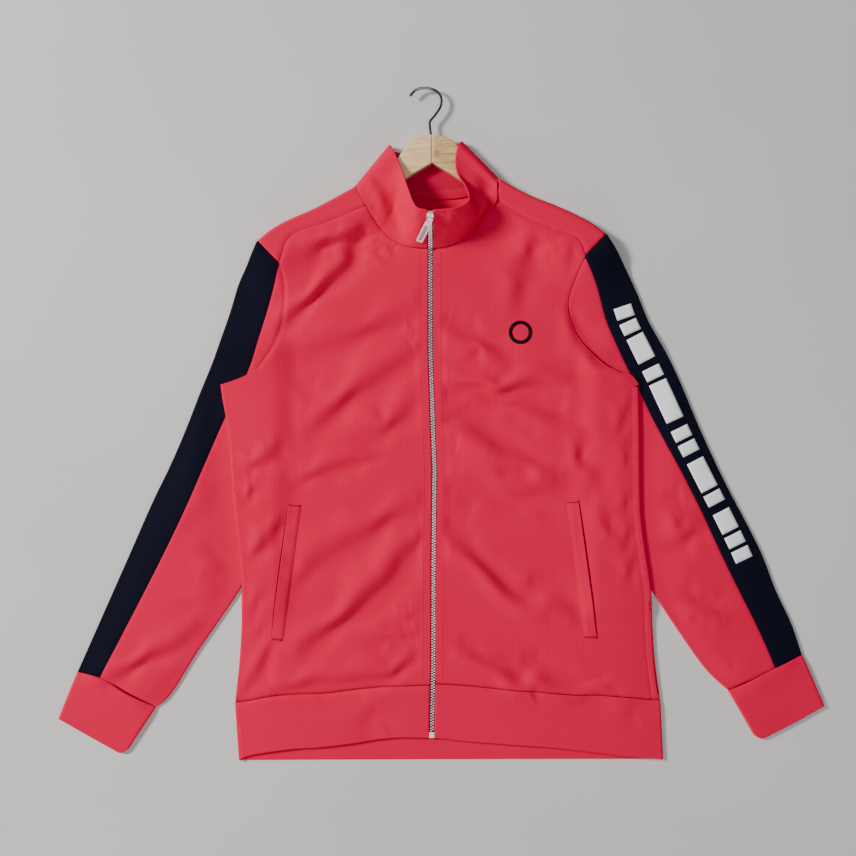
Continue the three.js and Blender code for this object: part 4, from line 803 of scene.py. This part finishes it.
# cuffs and hem band
def ring(front, low, reach, turnSteps=8):  # a flattened tube: front row, roll, back row, roll
    ends = unit(front[[-1, 0], :2] - front[[-2, 1], :2])
    far = roll(front[-1:], ends[:1], reach, np.array([low]), turnSteps)[0]
    near = roll(front[:1], ends[1:], reach, np.array([low]), turnSteps)[0][::-1]
    backRow = front[::-1][1:-1].copy()
    backRow[:, 2] = low
    return np.vstack([front, far[1:], backRow, near[:-1], front[:1]])


def cuff(side, seam, edge, height, lean):
    shape = {"rows": 26, "across": 40, "roll": 2.4, "rest": cloth["rib"] / 2 + 3.4, "crown": 0.5,
             "start": 0.004, "ramp": 30, "dip": 0.45, "dipReach": 2.4}
    top = along(seam, shape["across"])
    end = atShares(np.array(edge, float), np.linspace(0, 1, shape["across"] + 1))
    end[1:-1] = (end[:-2] + 2 * end[1:-1] + end[2:]) / 4
    rows = []
    for v in crowded(shape["rows"], 0.08):
        row = lerp(top, end, lerp(shape["start"], 1, v))
        inset = shape["roll"] / np.linalg.norm(row[-1] - row[0])
        row = atShares(row, np.linspace(inset, 1 - inset, len(row)))
        far = v * np.linalg.norm(end[20] - top[20])
        lying = shape["rest"] + shape["crown"] * math.sin(math.pi * v)
        z = lerp(height(row[:, 0], row[:, 1]) + 0.1, lying, smooth(0, shape["ramp"], far))
        z = z - shape["dip"] * math.exp(-(far / shape["dipReach"]) ** 2)
        rows.append(ring(np.column_stack([row, z]), cloth["rib"] / 2, shape["roll"]))
    rows = np.array(rows)
    made = clothWall(f"cuff{side}", [rows], cloth["rib"], redBand, [turnedPlan(rows, lean)])
    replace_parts(made, f"cuff_{side.lower()}")


cuff("Right", cuffSeamRight, cuffEdgeRight, heightRight, -25)
cuff("Left", cuffSeamLeft, cuffEdgeLeft, heightLeft, 25)


def hemBand():
    shape = {"rows": 30, "front": 90, "back": 40, "roll": 2.6, "gap": 0.35, "backGap": 1.3, "deep": 66,
             "dip": 1.5, "dipReach": 2.6}
    low = cloth["rib"] / 2
    seamRight = shifted(along(hemSeamRight, shape["front"]), 1, -shape["gap"])[::-1]
    seamLeft = shifted(along(hemSeamLeft, shape["front"]), -1, -shape["gap"])
    edgeRight, edgeLeft = along(hemEdgeRight, shape["front"])[::-1], along(hemEdgeLeft, shape["front"])
    backSeam = along(backHem, shape["back"]) - [0, shape["backGap"]]
    backEdge = along(backHemEdge, shape["back"])
    x = np.array([[1.0, 0.0]])
    rows = []
    for v in crowded(shape["rows"], 0.08):
        right, left = lerp(edgeRight, seamRight, v), lerp(edgeLeft, seamLeft, v)
        right[0, 0], left[-1, 0] = zipX(right[0, 1]) - zipGap, zipX(left[-1, 1]) + zipGap
        right[-1, 0] += shape["roll"]
        left[0, 0] -= shape["roll"]
        dip = shape["dip"] * math.exp(-((1 - v) * shape["deep"] / shape["dipReach"]) ** 2)
        right, left = [
            np.column_stack([line, frontHeight(line[:, 0], line[:, 1]) + cloth["rib"] - cloth["thick"] - dip])
            for line in (right, left)]
        rollRight = roll(right[-1:], -x, shape["roll"], np.array([low]), 10)[0]
        rollLeft = roll(left[:1], x, shape["roll"], np.array([low]), 10)[0][::-1]
        under = lerp(backEdge, backSeam, v)[1:-1]
        under = np.column_stack([under, np.full(len(under), low)])
        rows.append(np.vstack([right, rollRight[1:], under, rollLeft[:-1], left]))
    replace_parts(clothWall("hemBand", [np.array(rows)], cloth["rib"], redBand), "hem_band")


hemBand()


def cuffAllowance(side, seam, height):  # what shows between a cuff and its sleeve
    middle = along(seam, 60)
    across = unit(middle[-1] - middle[0])
    down = np.array([across[1], -across[0]]) * (-1 if across[0] < 0 else 1)
    rows = [middle[1:-1] + down * far for far in (0.7, 0.0, -0.7)]
    grid = np.array([np.column_stack([row, height(row[:, 0], row[:, 1]) - 0.55]) for row in rows])
    clothWall(f"cuffSeamAllowance{side}", [grid if across[0] > 0 else mirrored(grid)], 0.5, redThread)


cuffAllowance("Right", cuffSeamRight, heightRight)
cuffAllowance("Left", cuffSeamLeft, heightLeft)


def hemShadeAllowance():  # the turned-in edge between front and band, in very dark red: painted shade, so the seam shows as a dark hairline
    strips = []
    for line, side in ((hemSeamRight, -1), (hemSeamLeft, 1)):
        rows = [shifted(along(line, 120), side, far) for far in (-0.3, 0.3, 0.9)]
        grid = np.array([np.column_stack([row, frontHeight(row[:, 0], row[:, 1]) - 0.8]) for row in rows])
        strips.append(grid if side > 0 else mirrored(grid))
    # its very dark red is painted shade in the seam
    clothWall("hemSeamShadeAllowance", strips, 0.5, shadeAndTackKnit)


hemShadeAllowance()
print("cuffs and hem band made")


# collar: one strip of stations, each climbing from the neck seam to the top edge
collarFolds = [
    (3.0, 9, [(-42, 646), (-47, 658), (-51, 674), (-53, 692), (-51, 708)]),
    (5.0, 8, [(60, 716), (58, 684), (41, 660), (24, 650)]),
    (1.6, 5, [(22, 664), (30, 672)]),
    (1.8, 6, [(-74, 722), (-62, 700), (-60, 680)]),
]


def collarStrip(perSpan=9, up=26):
    def standing(table):
        return [(sx, sy, float(frontHeight(sx, sy)) + 1.1, *rest) for sx, sy, *rest in table]

    flat = cloth["collar"] / 2
    rows = standing(collarRight)
    rows += [(sx, sy, z, tx, ty, z, 1, 0) for sx, sy, tx, ty, z in collarFoldRight]
    rows += [(sx, sy, flat, tx, ty, flat, 1, 0) for sx, sy, tx, ty in collarBack]
    rows += [(sx, sy, z, tx, ty, z, 1, 0) for sx, sy, tx, ty, z in collarFoldLeft]
    rows += standing(collarLeft)
    stations = curveThrough(rows, perSpan)
    v = crowded(up, 0.09)[None, :, None]
    seam, top = stations[:, None, 0:3], stations[:, None, 3:6]
    grid = seam + (top - seam) * v
    rise, dip = np.maximum(stations[:, 6:7], 0.6), stations[:, 7:8]
    grid[..., 2] = lerp(seam[..., 2], top[..., 2], v[..., 0] ** rise) - dip * np.sin(np.pi * v[..., 0])
    outward = unit(-np.cross(np.gradient(grid, axis=0), np.gradient(grid, axis=1)))
    free = smooth(6.5, 9.5, grid[..., 2:]) * np.sin(np.pi * np.clip(v, 0, 0.97)) ** 0.35
    grid += outward * free * sumFolds(collarFolds, grid[..., 0], grid[..., 1])[..., None]
    grid[..., 2] = np.maximum(grid[..., 2], flat)
    return grid


collarGrid = collarStrip()
collarFlow = np.stack(np.broadcast_arrays(lengths(collarGrid[:, 0])[:, None], crowded(26, 0.09)[None] * 62),
                      axis=2)
collar = clothWall("collarWall", [collarGrid], cloth["collar"], flows=[collarFlow])
collar.data.materials.append(innerShadeKnit)  # the collar's layer towards the neck takes a darker red: painted shade of the inside of the neck
oneSide = (collarGrid.shape[0] - 1) * (collarGrid.shape[1] - 1)
neckMiddle = Vector((np.array([-5, 718, 26]) + toRow) / 1000)
towardsNeck = [face.normal.dot(neckMiddle - face.center) > 0 for face in collar.data.polygons[:oneSide]]
start = 0 if sum(towardsNeck) > oneSide / 2 else oneSide
for face in collar.data.polygons[start:start + oneSide]:
    face.material_index = 1
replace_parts(collar, "collar")

# neck tape over the inside of the back neck seam
seamLine = along(collarBack, 80)[:, :2]
seamLine = seamLine[(seamLine[:, 0] > -78) & (seamLine[:, 0] < 70)]
tape = {"wide": 12, "thick": 0.8, "middle": cloth["collar"] + 0.3 + 0.5, "crown": 0.25}
tapeRows = []
for v in np.linspace(0, 1, 7):
    z = np.full(len(seamLine), tape["middle"] - tape["crown"] * abs(2 * v - 1))
    tapeRows.append(np.column_stack([seamLine[:, 0], seamLine[:, 1] + tape["wide"] * v - tape["wide"] / 2, z]))
neckTape = clothWall("neckTape", [np.array(tapeRows)], tape["thick"], tapeKnit)
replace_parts(neckTape, "neck_tape")
print("collar made")


# pocket welts, laid on the fronts
def weltPiece(side, corners):
    shape = {"long": 90, "wide": 12, "clear": 1.3}
    upperOut, upperIn, lowerIn, lowerOut = [np.array(c, float) for c in corners]
    v = np.linspace(0, 1, shape["long"] + 1)[:, None]
    grid = ruled(lerp(upperOut, lowerOut, v), lerp(upperIn, lowerIn, v), crowded(shape["wide"], 0.08))
    laid = lay(grid, lambda x, y: frontHeight(x, y) + shape["clear"])
    laid = sinkSeams(sinkSeams(laid, "right", "weltFold"), "top bottom", "weltEnd")
    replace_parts(clothWall(f"pocketWelt{side}", [laid]), f"pocket_welt_{side.lower()}")


weltPiece("Right", weltRight)
weltPiece("Left", weltLeft)
print("pocket welts made")

# hanger and zip keep their solids, in their own materials
materialOf = {"hanger_arm_right": beechPale, "hanger_arm_left": beechFigured, "hanger_hook": hookPlate,
              "zip_chain": nickel, "zip_bottom_stop": nickel, "zip_slider": brightNickel,
              "zip_pull": brightNickel}
for node, material in materialOf.items():
    slots = frame["nodes"][node].data.materials
    slots.clear()
    slots.append(material)


# what lies on the cloth finds its height from the cloth itself
def clothTree():
    points, faces = [], []
    for piece in bpy.context.scene.objects:
        if piece.type == "MESH" and "clothPlan" in piece.data.uv_layers:
            start = len(points)
            points += [v.co.copy() for v in piece.data.vertices]
            faces += [[start + i for i in f.vertices] for f in piece.data.polygons]
    return BVHTree.FromPolygons(points, faces)


overCloth = clothTree()


def onCloth(xy, lift=0.0):  # points in the garment's frame, dropped on to the cloth from above
    found, high = [], 0.2
    for x, y in np.asarray(xy)[:, :2]:
        above = Vector((*((np.array([x, y]) + toRow[:2]) / 1000), high))
        hit = overCloth.ray_cast(above, Vector((0, 0, -1)))[0]
        found.append((x, y, (hit.z * 1000 if hit else cloth["backMid"]) + lift))
    return np.array(found)


# stitches: short threads that dip into the cloth at both ends
def stitches(name, lines, pitch=3.2, long=2.3, thick=0.42, material=redThread):
    points, faces = [], []
    for line in lines:
        line = np.array(line, float)
        far = lengths(line)
        count = max(1, int(far[-1] / pitch))
        starts = (np.arange(count) + 0.5) * far[-1] / count - long / 2
        for start in starts:
            share = (start + long * np.array([0, 0.25, 0.75, 1])) / far[-1]
            middle = onCloth(atShares(line, np.clip(share, 0, 1)), -0.04)
            run = unit(middle[-1] - middle[0])
            side = unit(np.cross(run, (0, 0, 1)))
            up = np.cross(side, run)
            size = thick / 2 * np.array([0.45, 1, 1, 0.45])
            middle += up * np.array([-0.12, 0.1, 0.1, -0.12])[:, None]
            first = len(points)
            for place, half in zip(middle, size):
                points += [place + side * half, place + up * half, place - side * half, place - up * half]
            for k in range(3):
                a = first + 4 * k
                faces += [(a + i, a + (i + 1) % 4, a + 4 + (i + 1) % 4, a + 4 + i) for i in range(4)]
            faces += [tuple(first + i for i in end) for end in ((3, 2, 1, 0), (12, 13, 14, 15))]
    newObject(name, np.array(points), faces, material)
    print(f"{name}: {len(faces)} faces")


zipRun = np.linspace(100, 632, 220)
placketStitch = 12.5  # from the zip's middle
stitches("placketStitches", [np.stack([zipX(zipRun) + d, zipRun], axis=1)
                             for d in (-placketStitch, placketStitch)])
print("stitches made")

# zip: tape, then two rows of teeth that mesh, up the fronts and the standing collar; a tooth every 3.3 mm,
# where the real ones are nearer 2 mm apart, so that they show
zipper = {"tooth": 3.3, "reach": 2.5, "past": -0.05, "long": 1.7, "low": -0.5, "shoulder": 0.3, "top": 1.0,
          "bevel": 0.26, "slider": 12.0, "from": 35.3, "tapeThick": 0.7, "tapeLow": 0.15}
collarFoot = (collarGrid[0, 0] + collarGrid[-1, 0]) / 2
collarTop = (collarGrid[0, -1] + collarGrid[-1, -1]) / 2
sliderShare = 1 - (zipper["slider"] + 2) / np.linalg.norm(collarTop - collarFoot)


def zipRoute():
    y = np.concatenate([[zipper["from"]], np.arange(40, 634, 4.0)])
    body = np.column_stack([zipX(y), y, frontHeight(zipX(y), y)])
    share = np.array([0.1, 0.25, 0.5, sliderShare - 0.01])[:, None]
    fine = curveThrough(np.vstack([body, lerp(collarFoot, collarTop, share)]), 6)
    return fine, lengths(fine)


route, routeFar = zipRoute()


def onRoute(far):
    behind, middle, ahead = [np.stack([np.interp(far + step, routeFar, route[:, c]) for c in range(3)], axis=-1)
                             for step in (-1, 0, 1)]
    run = unit(ahead - behind)
    side = unit(np.array([1.0, 0, 0]) - run * run[..., :1])
    return middle, run, side, np.cross(side, run)


def zipTape():
    middle, run, side, up = onRoute(np.linspace(0, routeFar[-1], 330))
    strips = [np.stack([middle + side * across - up * zipper["tapeLow"] for across in part], axis=1)
              for part in ((-chainHalf, -1.7, -0.15), (0.15, 1.7, chainHalf))]
    clothWall("zipTape", strips, zipper["tapeThick"], redTape)


def zipTeeth():
    points, faces = [], []
    half = zipper["long"] / 2
    for sign in (-1, 1):
        places = np.arange(1.2 + (sign > 0) * zipper["tooth"] / 2, routeFar[-1] - 1, zipper["tooth"])
        for middle, run, side, up in zip(*onRoute(places)):
            levels = [(zipper["low"], 0.0), (zipper["shoulder"], 0.0), (zipper["top"], zipper["bevel"])]
            first = len(points)
            for level, inset in levels:
                for across, far in ((-1, -1), (1, -1), (1, 1), (-1, 1)):
                    reach = -zipper["past"] + inset if across < 0 else zipper["reach"] - inset
                    points.append(middle + side * sign * reach + run * far * (half - inset) + up * level)
            turn = 1 if sign > 0 else -1
            for low in (first, first + 4):
                faces += [[low + i, low + (i + 1) % 4, low + 4 + (i + 1) % 4, low + 4 + i][::turn]
                          for i in range(4)]
            faces += [[first + i for i in end][::turn] for end in ((3, 2, 1, 0), (8, 9, 10, 11))]
    made = newObject("zipTeeth", np.array(points), faces, nickel)
    made.data.polygons.foreach_set("use_smooth", [False] * len(made.data.polygons))
    print(f"zipTeeth: {len(faces)} faces")
    return made


zipTape()
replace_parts(zipTeeth(), "zip_chain")
print("zip made")


# the dark enamelled field of the pull tab, which swings with it
def tabInset():
    shape = {"half": 2.1, "top": -12.5, "bottom": -36.6, "corner": 0.6, "face": 0.8, "sunk": 0.2, "out": 0.25}
    hinge = {"at": (0, 4.9, 5.6), "turned": -20, "tilted": 5}  # how the part's tab hangs on its slider
    slopeY = unit((collarTop - collarFoot) * [0, 1, 1])
    slopeZ = np.cross((1, 0, 0), slopeY)
    basis = Matrix([(1, slopeY[0], slopeZ[0]), (0, slopeY[1], slopeZ[1]), (0, slopeY[2], slopeZ[2])]).to_4x4()
    hang = Matrix.Translation(Vector(hinge["at"])) @ Matrix.Rotation(math.radians(hinge["turned"]), 4, "Z")
    place = basis @ hang @ Matrix.Rotation(math.radians(hinge["tilted"]), 4, "X")
    foot = Vector(lerp(collarFoot, collarTop, sliderShare))
    half, top, bottom, corner = [shape[key] for key in ("half", "top", "bottom", "corner")]
    outline = [(-half, top - corner), (-half + corner, top), (half - corner, top), (half, top - corner),
               (half, bottom + corner), (half - corner, bottom), (-half + corner, bottom),
               (-half, bottom + corner)][::-1]
    levels = (shape["face"] - shape["sunk"], shape["face"] + shape["out"])
    points = np.array([tuple(foot + place @ Vector((x, y, z))) for z in levels for x, y in outline])
    sides = [(i, (i + 1) % 8, 8 + (i + 1) % 8, 8 + i) for i in range(8)]
    faces = [tuple(range(8))[::-1], tuple(range(8, 16)), *sides]
    made = newObject("pullTabInset", points, faces, darkNickel, "pull_tab")
    made.data.polygons.foreach_set("use_smooth", [False] * len(made.data.polygons))


tabInset()
print("pull tab made")


# the open edge of each pocket gets a very dark red strip laid in its mouth, painted shade of the pocket's inside,
# and each end is bar tacked
def pocketMouthShade(side, corners, outSign):
    # the strip's very dark red is painted shade of the pocket's inside
    shape = {"wide": 2.4, "lift": 1.05, "lap": 0.8, "thick": 0.5}
    upper, lower = np.array(corners[0], float), np.array(corners[3], float)
    v = np.linspace(0, 1, 91)[:, None]
    line = lerp(upper, lower, v)
    wide = shape["wide"] * (0.3 + 0.7 * np.sin(np.pi * v) ** 0.5)
    out = unit(np.array([upper[1] - lower[1], lower[0] - upper[0]])) * outSign
    strip = np.stack([np.column_stack([line + out * (d * wide - shape["lap"]),
                                       frontHeight(*(line + out * d).T) + shape["lift"]])
                      for d in np.linspace(0, 1, 4)], axis=1)
    clothWall(f"pocketMouth{side}", [strip if outSign > 0 else mirrored(strip)], shape["thick"], shadeAndTackKnit)


pocketMouthShade("Right", weltRight, -1)
pocketMouthShade("Left", weltLeft, 1)
overCloth = clothTree()


seamLines, tackLines = [], []
for upperOut, upperIn, lowerIn, lowerOut in [np.array(w, float) for w in (weltRight, weltLeft)]:
    inward, down = unit(upperOut - upperIn), unit(lowerOut - upperOut)
    seamLines.append(lerp(upperIn + inward * 1.5, lowerIn + inward * 1.5, np.linspace(0, 1, 60)[:, None]))
    for a, b, way in ((upperOut, upperIn, 1), (lowerOut, lowerIn, -1)):
        tackLines += [np.array([a + down * way * step, b + down * way * step]) for step in (1.6, 2.6)]
stitches("weltStitches", seamLines)
# the bar tacks take the same very dark red knit as the painted-shade strips
stitches("pocketBarTacks", tackLines, pitch=1.5, long=1.4, thick=0.6, material=shadeAndTackKnit)
print("pockets finished")


# plain white blocks down the wearer's left sleeve stripe, and a plain ring on the chest
transfer = {"sunk": 0.1, "lift": 0.12, "thick": 0.25}


def film(name, patches, material):
    points, faces = [], []
    for grid in patches:
        first, (rows, columns) = len(points), grid.shape[:2]
        rim = [(0, c) for c in range(columns)] + [(r, columns - 1) for r in range(1, rows)]
        rim += [(rows - 1, c) for c in range(columns - 2, -1, -1)] + [(r, 0) for r in range(rows - 2, 0, -1)]
        low = onCloth(grid.reshape(-1, 2), -transfer["sunk"])
        points += [*low, *(low + [0, 0, transfer["sunk"] + transfer["lift"] + transfer["thick"]])]
        size = rows * columns
        at = lambda r, c: first + r * columns + c
        quads = [(at(r, c), at(r, c + 1), at(r + 1, c + 1), at(r + 1, c))
                 for r in range(rows - 1) for c in range(columns - 1)]
        a, b, c2 = [np.append(grid[r, c], 0) for r, c in ((0, 0), (0, columns - 1), (rows - 1, 0))]
        turn = 1 if np.cross(b - a, c2 - a)[2] > 0 else -1
        faces += [[i + size for i in q][::turn] for q in quads] + [list(q)[::-turn] for q in quads]
        loop = [at(r, c) for r, c in rim]
        faces += [[i, j, j + size, i + size][::turn] for i, j in zip(loop, loop[1:] + loop[:1])]
    newObject(name, np.array(points), faces, material)


def stripeBlocks():
    shape = {"start": 8.0, "gap": 5, "half": 11.5, "stopShort": 4}
    pattern = [(15, 0), (15, 0), (34, 5), (15, 0), (52, 6), (15, 0), (15, 5), (40, 0), (15, 6), (27, 0),
               (15, 0), (15, 5), (46, 0)]  # how long each block is, and what more room it leaves after it
    inner, outer = curveThrough(stripeSeamLeft), curveThrough(outerLeft)
    rows = np.linspace(572, 212, 200)
    inside = np.interp(rows, inner[::-1, 1], inner[::-1, 0])
    outside = np.interp(rows, outer[::-1, 1], outer[::-1, 0])
    axis = np.stack([lerp(inside, outside, 0.5), rows], axis=1)
    far = lengths(axis)[-1]
    blocks, at = [], shape["start"]
    for long, more in pattern:
        if at + long > far - shape["stopShort"]:
            break
        middle = atShares(axis, np.array([at, at + long]) / far)
        run = unit(middle[1] - middle[0])
        u = np.linspace(0, 1, max(4, int(long / 3)))[:, None]
        v = np.linspace(-shape["half"], shape["half"], 9)
        line = middle[0] + (middle[1] - middle[0]) * u
        blocks.append(line[:, None] + np.array([-run[1], run[0]]) * v[None, :, None])
        at += long + shape["gap"] + more
    film("stripeBlocks", blocks, whiteFilm)


def chestRing():
    shape = {"middle": (110, 532), "reach": 14.5, "wide": 4.2}
    turn = np.linspace(0, 2 * np.pi, 49)
    way = np.stack([np.cos(turn), np.sin(turn)], axis=1)
    grid = np.stack([way * (shape["reach"] - shape["wide"] * k) for k in (0, 0.5, 1)], axis=1)
    film("chestRing", [np.array(shape["middle"]) + grid], darkFilm)


stripeBlocks()
chestRing()
print("plain marks made")


# floor and light: a matt painted board with a slight cloud in its paint, and soft lamps
def floorMaterial():
    material, tree, surface, place = newMaterial("paleFloor", {"Roughness": 0.85})
    cloud = addNode(tree, "TexNoise", {"Scale": 3.0, "Detail": 4.0}, {"Vector": place})
    addNode(tree, "ValToRGB", {"stops": [(0.3, "#d2d1cf"), (0.7, "#dad9d7")]}, {"Fac": cloud},
            surface["Base Color"])
    return material


stageSet = {"half": 4.0, "low": -0.0002, "world": 0.22}
lamps = {  # place, size, power and colour
    "keyLight": ((-3.1, 1.1, 2.15), 0.9, 190, (1.0, 0.97, 0.94)),
    "frontLight": ((0.2, -3.3, 0.75), 1.6, 30, (1.0, 0.99, 0.97)),
    "ceilingLight": ((0.3, -0.4, 2.6), 1.5, 16, (0.96, 0.98, 1.0)),
}
floorMesh = bpy.data.meshes.new("floor")
h, z = stageSet["half"], stageSet["low"]
floorMesh.from_pydata([(-h, -h, z), (h, -h, z), (h, h, z), (-h, h, z)], [], [(0, 1, 2, 3)])
floorMesh.materials.append(floorMaterial())
floor = bpy.data.objects.new("floor", floorMesh)
bpy.context.scene.collection.objects.link(floor)

for name, (place, size, power, colour) in lamps.items():
    data = bpy.data.lights.new(name, "AREA")
    data.shape, data.size, data.energy, data.color = "DISK", size, power, colour
    lamp = bpy.data.objects.new(name, data)
    bpy.context.scene.collection.objects.link(lamp)
    lamp.location = place
    lamp.rotation_mode = "QUATERNION"
    lamp.rotation_quaternion = (-Vector(place)).to_track_quat("-Z", "Y")
world = bpy.data.worlds.new("studio")
world.use_nodes = True
background = world.node_tree.nodes["Background"]
background.inputs["Color"].default_value = fromHex("#eef0f2")
background.inputs["Strength"].default_value = stageSet["world"]
bpy.context.scene.world = world
print("floor and light made")

print("scene made")
